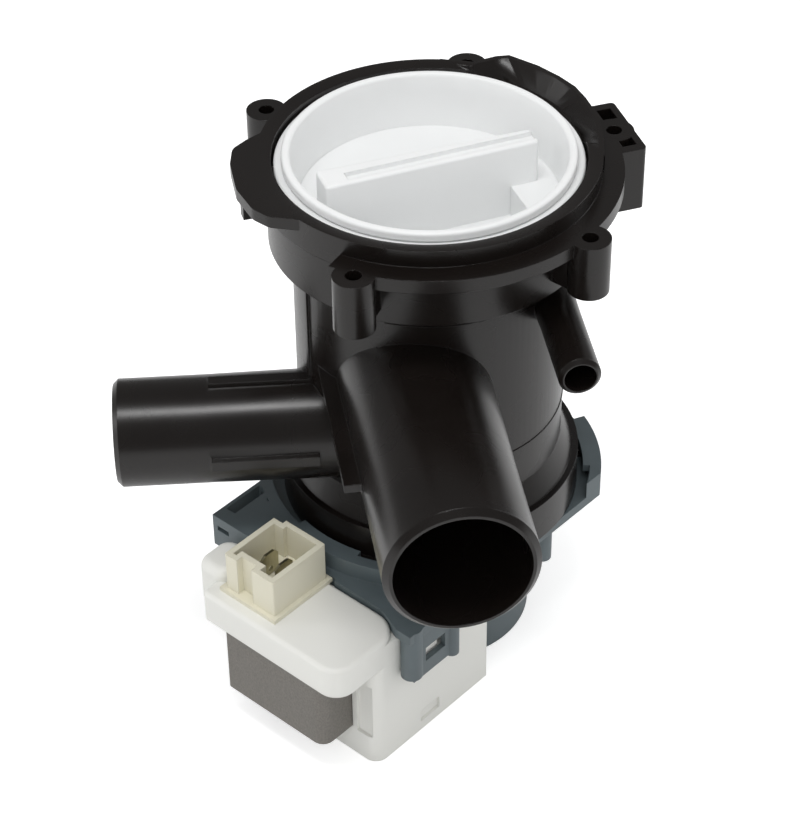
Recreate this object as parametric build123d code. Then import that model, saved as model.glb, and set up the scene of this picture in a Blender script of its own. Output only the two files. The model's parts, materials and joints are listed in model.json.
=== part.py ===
from build123d import *
import math
import os

# Washer drain pump with a filter chamber, in millimetres.
# +Z is the pump axis and points to the filter cap. The origin is on the axis, in the plane
# that the motor end stands on. -Y is the way the large inlet points.
# The motor's own frame shares the axis and is turned about it by MOTOR_TURN degrees.

# Heights, each counted from the one before it, from the standing plane to the cap's rim
BASE_TOP_Z = 47.1
COLLAR_HEIGHT = 5.3
VOLUTE_FLANGE_RISE = 12.8
OUTLET_RISE = 20.1
INLET_RISE = 22.5
SKIRT_RISE = 31.0
SKIRT_HEIGHT = 20.0
BOSS_LENGTH = 16.0
RING_HEIGHT = 4.85
CAP_RIM_RISE = 0.65
SPIGOT_DROP = 8.8
ROOF_DROP = 1.0

# General gaps and cuts
OVERRUN = 1.0
SEAT_GAP = 0.3
FIT_GAP = 0.2
SHAFT_GAP = 0.05
WEDGE_STEP = 50.0

# Housing walls
CHAMBER_R = 37.2
CHAMBER_WALL = 2.5
SKIRT_OUT = 6.16
SKIRT_WALL = 2.2
SKIRT_FLOOR = 2.5
VOLUTE_FLANGE_OUT = 5.13
VOLUTE_FLARE_RISE = 7.0
VOLUTE_FLARE_OUT = 3.4
ROOF_THICKNESS = 2.4
ROOF_STEP = 0.3
EYE_R = 15.0

# Ring with its ears and bay
RING_INSET = 1.66
RING_WALL = 3.9
RING_EDGE = 1.0
RING_SLOPE_DROP = 0.6
EAR_THICKNESS = 3.4
EAR_CORNER_SHARE = 0.0986842105
EAR_BLOCK_LENGTH = 5.5
EAR_BLOCK_WIDTH = 3.0
EAR_BLOCK_DROP = 7.0
EAR_BLOCK_TURN = 188.0
BAY_WALL = 1.4
BAY_SLOPE_TURN = 38.0
FLANGE_OUT = 5.8
FLANGE_THICKNESS = 4.0
FLANGE_START = -129.0
FLANGE_END = 80.0

# Screw bosses
BOSS_CIRCLE_OUT = 6.7
BOSS_R = 5.5
BOSS_HOLE_R = 2.15
BOSS_WEB = 7.0
BOSS_TURNS = (138.5, 239.2, 311.6, 9.3, 68.9)
BLOCK_TURN = 9.3
BLOCK_FRONT_OUT = 5.1
BLOCK_LEFT = -11.0
BLOCK_RIGHT = 13.0
BLOCK_CORNER = 1.2
BLOCK_LENGTH = 19.0
BLOCK_POCKET_WIDTH = 4.0
BLOCK_POCKET_LENGTH = 5.2
BLOCK_POCKET_DEPTH = 11.0

# Inlet, outlet and bypass spigot
INLET_R = 20.0
INLET_WALL = 2.4
INLET_X = -9.0
INLET_REACH = 102.4
INLET_LIP = 0.6
INLET_SEAT_START = 67.4
OUTLET_R = 15.0
OUTLET_WALL = 2.4
OUTLET_TURN = 174.9
OUTLET_OFFSET = 14.6
OUTLET_REACH = 88.0
OUTLET_LIP = 1.4
OUTLET_SEAT_START = 62.4
OUTLET_RIB_REACH = 61.7
OUTLET_RIB_WIDTH = 3.2
OUTLET_RIB_HEIGHT = 1.8
SPIGOT_R = 5.6
SPIGOT_WALL = 1.4
SPIGOT_X = 28.8
SPIGOT_REACH = 59.5
SPIGOT_LIP = 1.0
SPIGOT_SEAT_START = 35.0
SEAT_STEP = 0.3
SPIGOT_ROOT = 10.0

# Fin along the left side of the inlet
FIN_PROUD = 4.4
FIN_THICKNESS = 2.4
FIN_RISE = 1.5
FIN_START = 10.0
FIN_REACH = 67.0

# Upright rib on the chamber above the outlet
RIB_TURN = -160.5
RIB_WIDTH = 1.2
RIB_HEIGHT = 0.7

# Filter cap
CAP_INSET = 2.16
CAP_RIM_WALL = 2.3
CAP_WALL = 2.2
CAP_CUP_DEPTH = 15.5
CAP_TAPER = 1.6
CAP_RIM_ROUND = 0.9
CAP_SHOULDER_OUT = 2.1
CAP_SHOULDER_DROP = 2.8
CAP_SHOULDER_HEIGHT = 2.2
CAP_SHOULDER_ROUND = 0.6
GRIP_LENGTH = 60.0
GRIP_WIDTH = 6.7
GRIP_FLARE = 2.0
GRIP_CORNER = 1.0
GRIP_EDGE = 0.7
GRIP_TOP_DROP = 3.0
GRIP_TURN = 11.9
GRIP_GROOVE_WIDTH = 3.1
GRIP_GROOVE_DEPTH = 1.2
WELL_DEPTH = 9.0
WELL_WIDTH = 14.2
WELL_END = 22.0
WELL_CORNER = 4.0
WELL_WALL = 2.0
WELL_R = 29.9
CAP_NECK_INSET = 2.1
CAP_NECK_WALL = 2.2
CAP_NECK_LENGTH = 14.3
CAP_STEM_R = 5.0
CAP_STEM_SHOULDER_R = 8.0
CAP_STEM_HEAD_R = 6.6
CAP_STEM_HEAD = 2.4
CAP_SEAL_RISE = 4.0
CAP_SEAL_SECTION_R = 0.95

# Bayonet between cap and housing
LUG_COUNT = 3
LUG_REACH = 1.6
LUG_DROP = 17.0
LUG_HEIGHT = 2.5
LUG_SPAN = 14.0
LUG_TURN = 30.0
LEDGE_GAP = 0.4
LEDGE_SPAN = 18.0
LEDGE_HEIGHT = 5.0
CAP_TURN_RANGE = 60.0
CAP_RISE = 5.0

# Strainer
STRAINER_INSET = 1.7
STRAINER_WALL = 2.0
STRAINER_BAR_WIDTH = 2.4
STRAINER_BAR_PROUD = 0.4
STRAINER_BAR_COUNT = 11
STRAINER_FIRST_BAR = -50.0
STRAINER_BAR_STEP = 28.0
STRAINER_BASE = 2.0
STRAINER_DROP = 2.0
STRAINER_TOP = 2.0
STRAINER_HOOP = 2.4
STRAINER_HOLE_R = 2.3
STRAINER_HOLE_COUNTS = (6, 12)
STRAINER_HOLE_RADII = (6.5, 12.5)
KEY_WIDTH = 3.0
KEY_REACH = 1.1
KEY_RISE = 7.4
KEY_DROP = 7.0
KEY_TURN = 90.0
GUIDE_WIDTH = 1.8
GUIDE_HEIGHT = 1.3

# Bayonet between housing and motor bracket
COLLAR_WALL = 3.3
COLLAR_GAP = 0.4
TAB_REACH = 2.0
TAB_THICKNESS = 2.3
TAB_SPAN = 27.0
TAB_TURNS = (-139.0, 0.0, 110.5)
COLLAR_GAP_START = 13.5
COLLAR_GAP_END = 40.0
HOUSING_LUG_REACH = 3.27
HOUSING_LUG_SPAN = 24.0
HOUSING_LUG_TURN = 11.0

# Motor bracket, in the motor's frame
MOTOR_TURN = -50.8
BASE_THICKNESS = 3.1
SPIGOT_FLOOR_INSET = 2.5
SPIGOT_FLOOR_RISE = 5.9
SEAL_DROP = 2.8
CAN_R = 14.5
CAN_WALL = 1.2
CAN_BOTTOM_Z = 6.0
CAN_FLOOR = 1.5
BUSH_POCKET_R = 6.0
BUSH_POCKET_WALL = 1.2
WING_LEFT = -30.2
WING_FRONT = -58.6
WING_RIGHT = -12.0
WING_WALL_END = -16.0
WING_DROP = 10.9
WING_WALL = 1.6
WING_ROOF = 2.0
WING_BACK_V = -34.5
WING_WALL_END_V = -35.9
SLOT_LEFT = -29.0
SLOT_RIGHT = -25.7
SLOT_FRONT = -54.2
SLOT_BACK = -41.0
WALL_SLOT_DROP = 4.8
WALL_SLOT_HEIGHT = 1.6
WALL_SLOT_LEFT = -28.4
WALL_SLOT_RIGHT = -24.0
BASE_RELIEF_V = -51.2
BASE_RELIEF_U = 10.3
BASE_FRONT_V = -52.0
BASE_LEFT_U = -16.0
POST_CORNER_V = -55.1
BASE_RIGHT_U = 41.0
BASE_BACK_V = 27.0
POST_U = 38.4
POST_V = -51.6
POST_R = 3.1
POST_LENGTH = 17.9
REAR_POST_V = -34.8
REAR_POST_R = 2.1
REAR_POST_LENGTH = 21.6
WEB_THICKNESS = 1.7
WEB_HEIGHT = 20.9
WINDOW_START_V = -46.7
WINDOW_END_V = -38.6
WINDOW_LOW_DROP = 16.1
WINDOW_HIGH_DROP = 11.1
SIDE_POST_U = 38.2
SIDE_POST_V = 5.0
SIDE_POST_R = 2.6
SIDE_POST_LENGTH = 13.1

# Stator cup
CUP_R = 29.1
CUP_WALL = 2.0
CUP_FLOOR = 2.0

# Stator core
CORE_LEFT = -10.6
CORE_RIGHT = 26.5
CORE_FRONT = -75.0
YOKE_DEPTH = 12.0
LIMB_WIDTH = 12.0
CORE_LOW_Z = 10.0
CORE_DROP = 10.3
CORE_CORNER = 3.5
CORE_LEFT_CORNER = 1.0
POLE_GAP = 3.0

# Coil
BOBBIN_WALL = 1.0
BOBBIN_FLANGE = 1.2
BOBBIN_START_V = -61.5
BOBBIN_END_V = -30.9
WINDING_BUILD = 3.9
WIRE_R = 0.5
LEAD_OVERLAP = 3.0

# Motor cover
COVER_DROP = 1.1
COVER_LEFT = -15.5
COVER_RIGHT = 35.7
COVER_FRONT = -78.3
COVER_BACK = -52.3
COVER_WALL = 1.5
COVER_EDGE = 1.4
TALL_FRONT = -63.4
TALL_BACK = -16.3
TALL_LEFT = 7.0
TALL_CORNER = 4.0
TALL_FRONT_WALL = 1.6
COVER_FRONT_CORNER = 6.0
COVER_BACK_CORNER = 8.0
COVER_LEFT_CORNER = 2.0
HUMP_LEFT = -23.5
HUMP_FRONT = -72.8
HUMP_BACK = -59.2
HUMP_RISE = 3.6
HUMP_CORNER = 4.5
HUMP_EDGE = 3.0
RECESS_LEFT = 28.4
RECESS_RIGHT = 33.6
RECESS_LOW_Z = 9.5
RECESS_HIGH_Z = 29.0
RECESS_DEPTH = 0.9
FACE_RECESS_START_V = -44.8
FACE_RECESS_END_V = -37.0
FACE_RECESS_LOW_Z = 3.3
FACE_RECESS_HIGH_Z = 7.3
FACE_RECESS_DEPTH = 0.8
CATCH_START_V = -45.6
CATCH_END_V = -39.8
CATCH_LOW_Z = 31.4
CATCH_HIGH_Z = 35.0
CATCH_REACH = 1.6

# Socket and blades
SOCKET_LEFT = -10.4
SOCKET_RIGHT = 7.8
SOCKET_FRONT = -73.2
SOCKET_BACK = -52.4
SOCKET_HEIGHT = 13.5
SOCKET_WALL = 1.7
SOCKET_FLOOR = 1.6
SOCKET_FLANGE = 1.2
SOCKET_FLANGE_OUT = 1.4
SOCKET_EDGE = 0.5
KEY_NOTCH_LEFT = -5.8
KEY_NOTCH_WIDTH = 5.6
KEY_NOTCH_DEPTH = 2.2
STEP_NOTCH_WIDTH = 3.4
STEP_NOTCH_DEPTH = 1.4
BLADE_WIDTH = 6.3
BLADE_THICKNESS = 0.8
BLADE_TOP_DROP = 3.2
BLADE_FOOT = 7.6
BLADE_TAPER = 1.4
BLADE_HOLE_R = 0.9
BLADE_HOLE_DROP = 5.5
BLADE_US = (-4.0, 1.5)
BLADE_V = -62.6

# Cut-out in the hump
CUTOUT_LENGTH = 10.0
CUTOUT_WIDTH = 5.6
CUTOUT_HEIGHT = 3.6

# Rotor
SHAFT_R = 2.0
SHAFT_LOW_RISE = 0.8
SHAFT_TOP_RISE = 24.0
BUSH_R = 4.0
REAR_BUSH_LENGTH = 4.2
THRUST_R = 5.4
THRUST_THICKNESS = 0.8
ROTOR_CORE_R = 5.0
MAGNET_R = 12.8
MAGNET_INSET = 0.6
FRONT_BUSH_LENGTH = 7.0
FRONT_BUSH_DROP = 12.6
HOLDER_LENGTH = 8.0

# Impeller and its driver
HUB_R = 10.5
HUB_WALL = 1.8
HUB_CUP_RISE = 0.9
HUB_CUP_HEIGHT = 8.2
IMPELLER_DISC = 2.0
IMPELLER_R = 23.0
VANE_COUNT = 6
VANE_THICKNESS = 2.0
VANE_DROP = 3.7
HUB_SLEEVE_R = 5.0
HUB_SLEEVE_DROP = 3.0
DOG_HUB_R = 4.2
DOG_SPAN = 40.0
DOG_GAP_SPAN = 5.0
DOG_RISE = 0.4
STOP_SPAN = 40.0
CLIP_R = 4.2
CLIP_THICKNESS = 0.8

# Heights that follow from the ones above
COLLAR_TOP_Z = BASE_TOP_Z + COLLAR_HEIGHT
VOLUTE_FLANGE_TOP_Z = BASE_TOP_Z + VOLUTE_FLANGE_RISE
OUTLET_Z = VOLUTE_FLANGE_TOP_Z + OUTLET_RISE
INLET_Z = OUTLET_Z + INLET_RISE
SKIRT_BOTTOM_Z = INLET_Z + SKIRT_RISE
SPIGOT_Z = SKIRT_BOTTOM_Z - SPIGOT_DROP
FLANGE_PLANE_Z = SKIRT_BOTTOM_Z + SKIRT_HEIGHT
BOSS_BOTTOM_Z = FLANGE_PLANE_Z - BOSS_LENGTH
RING_TOP_Z = FLANGE_PLANE_Z + RING_HEIGHT
CAP_RIM_Z = RING_TOP_Z + CAP_RIM_RISE
HOUSING_LOW_Z = BASE_TOP_Z + SEAT_GAP
INLET_BORE_R = INLET_R - INLET_WALL
ROOF_TOP_Z = INLET_Z - INLET_BORE_R - ROOF_STEP
ROOF_LOW_Z = ROOF_TOP_Z - ROOF_THICKNESS
CHAMBER_LOW_Z = ROOF_LOW_Z - ROOF_DROP
FIN_TOP_Z = INLET_Z + FIN_RISE
RIB_LOW_Z = OUTLET_Z + OUTLET_R + OUTLET_RIB_HEIGHT
CAP_FLOOR_Z = CAP_RIM_Z - CAP_CUP_DEPTH
CAP_FLOOR_LOW_Z = CAP_FLOOR_Z - CAP_WALL
CAP_NECK_LOW_Z = CAP_FLOOR_LOW_Z - CAP_NECK_LENGTH
CAP_SEAL_Z = CAP_NECK_LOW_Z + CAP_SEAL_RISE
LUG_LOW_Z = CAP_RIM_Z - LUG_DROP
STRAINER_TOP_Z = CAP_NECK_LOW_Z - STRAINER_DROP
STRAINER_HOOP_Z = (ROOF_TOP_Z + STRAINER_TOP_Z) / 2
KEY_LOW_Z = ROOF_TOP_Z + KEY_RISE
KEY_HIGH_Z = STRAINER_TOP_Z - KEY_DROP
BASE_LOW_Z = BASE_TOP_Z - BASE_THICKNESS
SPIGOT_FLOOR_Z = BASE_TOP_Z + SPIGOT_FLOOR_RISE
SEAL_Z = SPIGOT_FLOOR_Z - SEAL_DROP
WING_LOW_Z = COLLAR_TOP_Z - WING_DROP
WALL_SLOT_LOW_Z = COLLAR_TOP_Z - WALL_SLOT_DROP
POST_LOW_Z = BASE_TOP_Z - POST_LENGTH
REAR_POST_LOW_Z = BASE_TOP_Z - REAR_POST_LENGTH
SIDE_POST_LOW_Z = BASE_TOP_Z - SIDE_POST_LENGTH
WEB_LOW_Z = BASE_TOP_Z - WEB_HEIGHT
WINDOW_LOW_Z = BASE_TOP_Z - WINDOW_LOW_DROP
WINDOW_HIGH_Z = BASE_TOP_Z - WINDOW_HIGH_DROP
COVER_TOP_Z = BASE_TOP_Z - COVER_DROP
CORE_TOP_Z = COVER_TOP_Z - CORE_DROP
COVER_SKIRT_Z = CORE_TOP_Z + SEAT_GAP
HUMP_TOP_Z = COVER_TOP_Z + HUMP_RISE
SOCKET_TOP_Z = COVER_TOP_Z + SOCKET_HEIGHT
BLADE_BOTTOM_Z = COVER_TOP_Z - BLADE_FOOT
BUSH_LOW_Z = CAN_BOTTOM_Z + CAN_FLOOR + SEAT_GAP
REAR_BUSH_TOP_Z = BUSH_LOW_Z + REAR_BUSH_LENGTH
ROTOR_LOW_Z = REAR_BUSH_TOP_Z + THRUST_THICKNESS + SEAT_GAP
FRONT_BUSH_LOW_Z = SPIGOT_FLOOR_Z - FRONT_BUSH_DROP
ROTOR_TOP_Z = FRONT_BUSH_LOW_Z - THRUST_THICKNESS - SEAT_GAP
HOLDER_LOW_Z = SPIGOT_FLOOR_Z - HOLDER_LENGTH
SHAFT_LOW_Z = BUSH_LOW_Z + SHAFT_LOW_RISE
SHAFT_TOP_Z = SPIGOT_FLOOR_Z + SHAFT_TOP_RISE
HUB_CUP_LOW_Z = SPIGOT_FLOOR_Z + HUB_CUP_RISE
HUB_TOP_Z = HUB_CUP_LOW_Z + HUB_CUP_HEIGHT
DOG_LOW_Z = HUB_CUP_LOW_Z + DOG_RISE
DISC_TOP_Z = HUB_TOP_Z + IMPELLER_DISC
VANE_TOP_Z = ROOF_LOW_Z - VANE_DROP
HUB_SLEEVE_TOP_Z = SHAFT_TOP_Z - HUB_SLEEVE_DROP

# Radii and sides that follow from the ones above
CHAMBER_INNER_R = CHAMBER_R - CHAMBER_WALL
FLOOR_BORE_R = CHAMBER_R + SEAT_GAP
VOLUTE_FLANGE_R = CHAMBER_R + VOLUTE_FLANGE_OUT
SKIRT_R = CHAMBER_R + SKIRT_OUT
SKIRT_INNER_R = SKIRT_R - SKIRT_WALL
RING_INNER_R = SKIRT_R - RING_INSET
RING_R = RING_INNER_R + RING_WALL
FLANGE_R = RING_R + FLANGE_OUT
BOSS_CIRCLE_R = RING_R + BOSS_CIRCLE_OUT
BLOCK_FRONT = BOSS_CIRCLE_R + BLOCK_FRONT_OUT
OUTLET_BORE_R = OUTLET_R - OUTLET_WALL
SPIGOT_BORE = SPIGOT_R - SPIGOT_WALL
CAP_R = SKIRT_INNER_R - CAP_INSET
CAP_NECK_R = CHAMBER_INNER_R - CAP_NECK_INSET
LUG_REACH_R = CAP_R + LUG_REACH
LEDGE_R = CAP_R + LEDGE_GAP
STRAINER_R = CHAMBER_INNER_R - STRAINER_INSET
HOUSING_LUG_R = VOLUTE_FLANGE_R + HOUSING_LUG_REACH
COLLAR_INNER_R = HOUSING_LUG_R + COLLAR_GAP
COLLAR_R = COLLAR_INNER_R + COLLAR_WALL
TAB_R = COLLAR_INNER_R - TAB_REACH
SPIGOT_FLOOR_R = FLOOR_BORE_R - SPIGOT_FLOOR_INSET
CAN_INNER_R = CAN_R - CAN_WALL
CUP_INNER_R = CUP_R - CUP_WALL
RIGHT_LIMB_LEFT = CORE_RIGHT - LIMB_WIDTH
LEFT_LIMB_RIGHT = CORE_LEFT + LIMB_WIDTH
LIMB_START_V = CORE_FRONT + YOKE_DEPTH
SOCKET_BASE_Z = COVER_TOP_Z
HUMP_RIGHT = SOCKET_LEFT - SOCKET_FLANGE_OUT - SHAFT_GAP


def rod(radius, low, high, x=0, y=0):
    """Upright cylinder between two heights."""
    turned = Cylinder(radius, high - low, align=(Align.CENTER, Align.CENTER, Align.MIN))
    return Pos(x, y, low) * turned


def tube(outer, inner, low, high, x=0, y=0):
    """Upright tube between two heights."""
    return rod(outer, low, high, x, y) - rod(inner, low - OVERRUN, high + OVERRUN, x, y)


def block(x_ends, y_ends, z_ends):
    """Box between two values on each axis."""
    length = x_ends[1] - x_ends[0]
    width = y_ends[1] - y_ends[0]
    height = z_ends[1] - z_ends[0]
    solid = Box(length, width, height, align=(Align.MIN, Align.MIN, Align.MIN))
    return Pos(x_ends[0], y_ends[0], z_ends[0]) * solid


def slab(points, low, high):
    """Plate with the given outline between two heights."""
    return Pos(0, 0, low) * extrude(Polygon(*points, align=None), high - low)


def polar(radius, turn):
    """Plan point at a radius and an angle in degrees."""
    angle = math.radians(turn)
    return (radius * math.cos(angle), radius * math.sin(angle))


def sector(outer, inner, start, end, low, high):
    """Part of an upright tube between two angles in degrees."""
    reach = outer + outer
    steps = max(1, math.ceil((end - start) / WEDGE_STEP))
    turns = [start + (end - start) * i / steps for i in range(steps + 1)]
    wedge = slab([(0, 0)] + [polar(reach, turn) for turn in turns], low, high)
    return tube(outer, inner, low, high) & wedge


def cone(low_r, high_r, low, high):
    """Upright cone between two heights."""
    shape = Cone(low_r, high_r, high - low, align=(Align.CENTER, Align.CENTER, Align.MIN))
    return Pos(0, 0, low) * shape


def level_rod(radius, start, turn, length):
    """Level cylinder that leaves a point in the direction of an angle in degrees."""
    way = polar(1, turn)
    plane = Plane(origin=start, z_dir=(way[0], way[1], 0))
    return plane * Cylinder(radius, length, align=(Align.CENTER, Align.CENTER, Align.MIN))


def lipped_rod(radius, start, turn, length, lip):
    """Level cylinder whose far edge is chamfered."""
    way = polar(1, turn)
    plane = Plane(origin=start, z_dir=(way[0], way[1], 0))
    shank = Cylinder(radius, length, align=(Align.CENTER, Align.CENTER, Align.MIN))
    far_edge = shank.edges().filter_by(GeomType.CIRCLE).sort_by(Axis.Z)[-1]
    return plane * chamfer(far_edge, lip)


def stub(radius, start, turn, seat_start, length, lip):
    """Hose stub: a seat of the given radius, on a root that is a little thicker."""
    root = level_rod(radius + SEAT_STEP, start, turn, seat_start)
    return root + lipped_rod(radius, start, turn, length, lip)


def motor(shape):
    """Shape drawn in the motor's frame, turned to its place."""
    return Rot(0, 0, MOTOR_TURN) * shape


# Pump housing

def ring_outline_points():
    """Outer outline of the bay that swings out from the ring, anticlockwise."""
    bay_shares = (
        (0.98, -0.23), (1.02, -0.01), (1.04, 0.17), (1.005, 0.395), (0.97, 0.53), (0.90, 0.66), (0.80, 0.80),
        (0.65, 0.948), (0.57, 0.95), (0.40, 0.905), (0.23, 0.98),
    )
    return [(RING_R * a, RING_R * b) for a, b in bay_shares]


def ear_points():
    """Outline of the left ear, anticlockwise from its rear end."""
    ear_shares = (
        (-0.80, 0.357), (-0.928, 0.357), (-1.03, 0.289), (-1.118, 0.21), (-1.147, 0.057), (-1.14, -0.20),
        (-1.072, -0.412), (-0.993, -0.504), (-0.822, -0.564), (-0.70, -0.60),
    )
    return [(RING_R * a, RING_R * b) for a, b in ear_shares]


def boss(turn):
    """Screw boss with the web that ties it to the skirt."""
    x, y = polar(BOSS_CIRCLE_R, turn)
    pillar = rod(BOSS_R, BOSS_BOTTOM_Z, FLANGE_PLANE_Z, x, y)
    half = BOSS_WEB / 2
    web_start = SKIRT_R - SKIRT_WALL / 2
    web = block((web_start, BOSS_CIRCLE_R), (-half, half), (BOSS_BOTTOM_Z, FLANGE_PLANE_Z))
    return pillar + Rot(0, 0, turn) * web


def bracket_block():
    """Block round the right boss, with its three pockets."""
    heights = (FLANGE_PLANE_Z - BLOCK_LENGTH, FLANGE_PLANE_Z)
    body = block((SKIRT_R - SKIRT_WALL / 2, BLOCK_FRONT), (BLOCK_LEFT, BLOCK_RIGHT), heights)
    corners = body.edges().filter_by(Axis.Z).sort_by(Axis.X)[-2:]
    body = fillet(corners, BLOCK_CORNER)
    inner_x = BLOCK_FRONT - BLOCK_POCKET_WIDTH - BLOCK_POCKET_WIDTH / 2
    for middle in (BLOCK_RIGHT - BLOCK_POCKET_LENGTH, BLOCK_LEFT + BLOCK_POCKET_LENGTH):
        half = BLOCK_POCKET_LENGTH / 2
        pocket_heights = (FLANGE_PLANE_Z - BLOCK_POCKET_DEPTH, FLANGE_PLANE_Z + OVERRUN)
        pocket_x = (inner_x, inner_x + BLOCK_POCKET_WIDTH)
        body -= block(pocket_x, (middle - half, middle + half), pocket_heights)
    return Rot(0, 0, BLOCK_TURN) * body


def outlet_axis_point(distance):
    """Point on the outlet's axis at a distance from the pump axis."""
    way = polar(1, OUTLET_TURN)
    side = (-way[1], way[0])
    x = way[0] * distance + side[0] * OUTLET_OFFSET
    y = way[1] * distance + side[1] * OUTLET_OFFSET
    return (x, y, OUTLET_Z)


def outlet_ribs():
    """Four ribs along the root of the outlet."""
    ribs = Part()
    plane = Plane(origin=outlet_axis_point(0), z_dir=(*polar(1, OUTLET_TURN), 0))
    half = OUTLET_RIB_WIDTH / 2
    reach = OUTLET_R + OUTLET_RIB_HEIGHT
    middle = (OUTLET_R + OUTLET_BORE_R) / 2
    for quarter in range(4):
        rib = block((middle, reach), (-half, half), (CHAMBER_INNER_R - OUTLET_WALL, OUTLET_RIB_REACH))
        ribs += plane * (Rot(0, 0, 90 * quarter) * rib)
    return ribs


def fin():
    """Level fin along the left side of the inlet."""
    side = INLET_X - INLET_R
    x_ends = (side - FIN_PROUD, side + INLET_WALL)
    return block(x_ends, (-FIN_REACH, -FIN_START), (FIN_TOP_Z - FIN_THICKNESS, FIN_TOP_Z))


def chamber_rib():
    """Upright rib on the chamber between the outlet and the skirt."""
    half = RIB_WIDTH / 2
    x_ends = (CHAMBER_INNER_R, CHAMBER_R + RIB_HEIGHT)
    return Rot(0, 0, RIB_TURN) * block(x_ends, (-half, half), (RIB_LOW_Z, SKIRT_BOTTOM_Z))


def ledge(turn):
    """Bayonet ledge over one lug of the cap, its underside sloped like the cap's rise."""
    low = LUG_LOW_Z + LUG_HEIGHT + SEAT_GAP
    start = turn - LUG_SPAN / 2
    shape = sector(SKIRT_R - SKIRT_WALL / 2, LEDGE_R, start, start + LEDGE_SPAN, low, low + LEDGE_HEIGHT)
    slope = math.degrees(math.atan2(CAP_RISE, math.radians(CAP_TURN_RANGE) * LUG_REACH_R))
    reach = SKIRT_R
    cutter = block((0, reach), (-reach / 2, reach), (-reach, 0))
    lifted = Pos(0, 0, low) * (Rot(0, 0, start) * (Rot(slope, 0, 0) * cutter))
    return shape - lifted


def housing_lug(turn):
    """Lug on the low flange, held under a tab of the bracket."""
    start = turn - HOUSING_LUG_SPAN / 2
    top = COLLAR_TOP_Z - TAB_THICKNESS - SEAT_GAP
    root = VOLUTE_FLANGE_R - CHAMBER_WALL
    return sector(HOUSING_LUG_R, root, start, start + HOUSING_LUG_SPAN, HOUSING_LOW_Z, top)


def guide_rib(side):
    """One of the two ribs that guide the strainer's key."""
    near = side * (KEY_WIDTH / 2 + SEAT_GAP)
    far = side * (KEY_WIDTH / 2 + SEAT_GAP + GUIDE_WIDTH)
    ends = (min(near, far), max(near, far))
    rib = block((CHAMBER_INNER_R - GUIDE_HEIGHT, CHAMBER_INNER_R + OVERRUN), ends, (KEY_LOW_Z, KEY_HIGH_Z))
    return Rot(0, 0, KEY_TURN) * rib


def pump_housing():
    """Filter chamber with its inlet, from the volute's roof up to the underside of the skirt."""
    body = rod(CHAMBER_R, CHAMBER_LOW_Z, SKIRT_BOTTOM_Z)
    body += stub(INLET_R, (INLET_X, 0, INLET_Z), -90, INLET_SEAT_START, INLET_REACH, INLET_LIP)
    body += fin()
    body += chamber_rib()
    body -= rod(CHAMBER_INNER_R, CHAMBER_LOW_Z - OVERRUN, SKIRT_BOTTOM_Z + OVERRUN)
    body -= level_rod(INLET_BORE_R, (INLET_X, 0, INLET_Z), -90, INLET_REACH + OVERRUN)
    body -= spigot_bore()
    body += guide_rib(1)
    body += guide_rib(-1)
    return body


def spigot_bore():
    """Bore of the bypass spigot, from inside the chamber's wall."""
    return level_rod(SPIGOT_BORE, (SPIGOT_X, -SPIGOT_ROOT, SPIGOT_Z), -90, SPIGOT_REACH)


def bypass_spigot():
    """Small stub on the chamber."""
    start = (SPIGOT_X, -SPIGOT_ROOT, SPIGOT_Z)
    seat_start = SPIGOT_SEAT_START - SPIGOT_ROOT
    body = stub(SPIGOT_R, start, -90, seat_start, SPIGOT_REACH - SPIGOT_ROOT, SPIGOT_LIP)
    reach = SPIGOT_R + OVERRUN
    body -= rod(CHAMBER_R, SPIGOT_Z - reach, SPIGOT_Z + reach)
    return body - spigot_bore()


def volute_casing():
    """Round casing below the chamber, with the outlet and the low flange."""
    body = rod(CHAMBER_R, VOLUTE_FLANGE_TOP_Z - OVERRUN, CHAMBER_LOW_Z)
    body += rod(VOLUTE_FLANGE_R, HOUSING_LOW_Z, VOLUTE_FLANGE_TOP_Z)
    flare_r = CHAMBER_R + VOLUTE_FLARE_OUT
    body += cone(flare_r, CHAMBER_R, VOLUTE_FLANGE_TOP_Z, VOLUTE_FLANGE_TOP_Z + VOLUTE_FLARE_RISE)
    body += stub(OUTLET_R, outlet_axis_point(0), OUTLET_TURN, OUTLET_SEAT_START, OUTLET_REACH, OUTLET_LIP)
    body += outlet_ribs()
    body -= rod(CHAMBER_R, CHAMBER_LOW_Z, INLET_Z)
    body -= level_rod(INLET_R + SEAT_STEP, (INLET_X, 0, INLET_Z), -90, INLET_SEAT_START)
    body -= rod(FLOOR_BORE_R, HOUSING_LOW_Z - OVERRUN, SPIGOT_FLOOR_Z + SEAT_GAP)
    body -= rod(CHAMBER_INNER_R, SPIGOT_FLOOR_Z, CHAMBER_LOW_Z + OVERRUN)
    body -= level_rod(OUTLET_BORE_R, outlet_axis_point(0), OUTLET_TURN, OUTLET_REACH + OVERRUN)
    for turn in TAB_TURNS:
        body += housing_lug(turn + HOUSING_LUG_TURN)
    return body


def volute_roof():
    """Plate with the eye, between the volute and the filter chamber."""
    return tube(CHAMBER_INNER_R, EYE_R, ROOF_LOW_Z, ROOF_TOP_Z)


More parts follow.
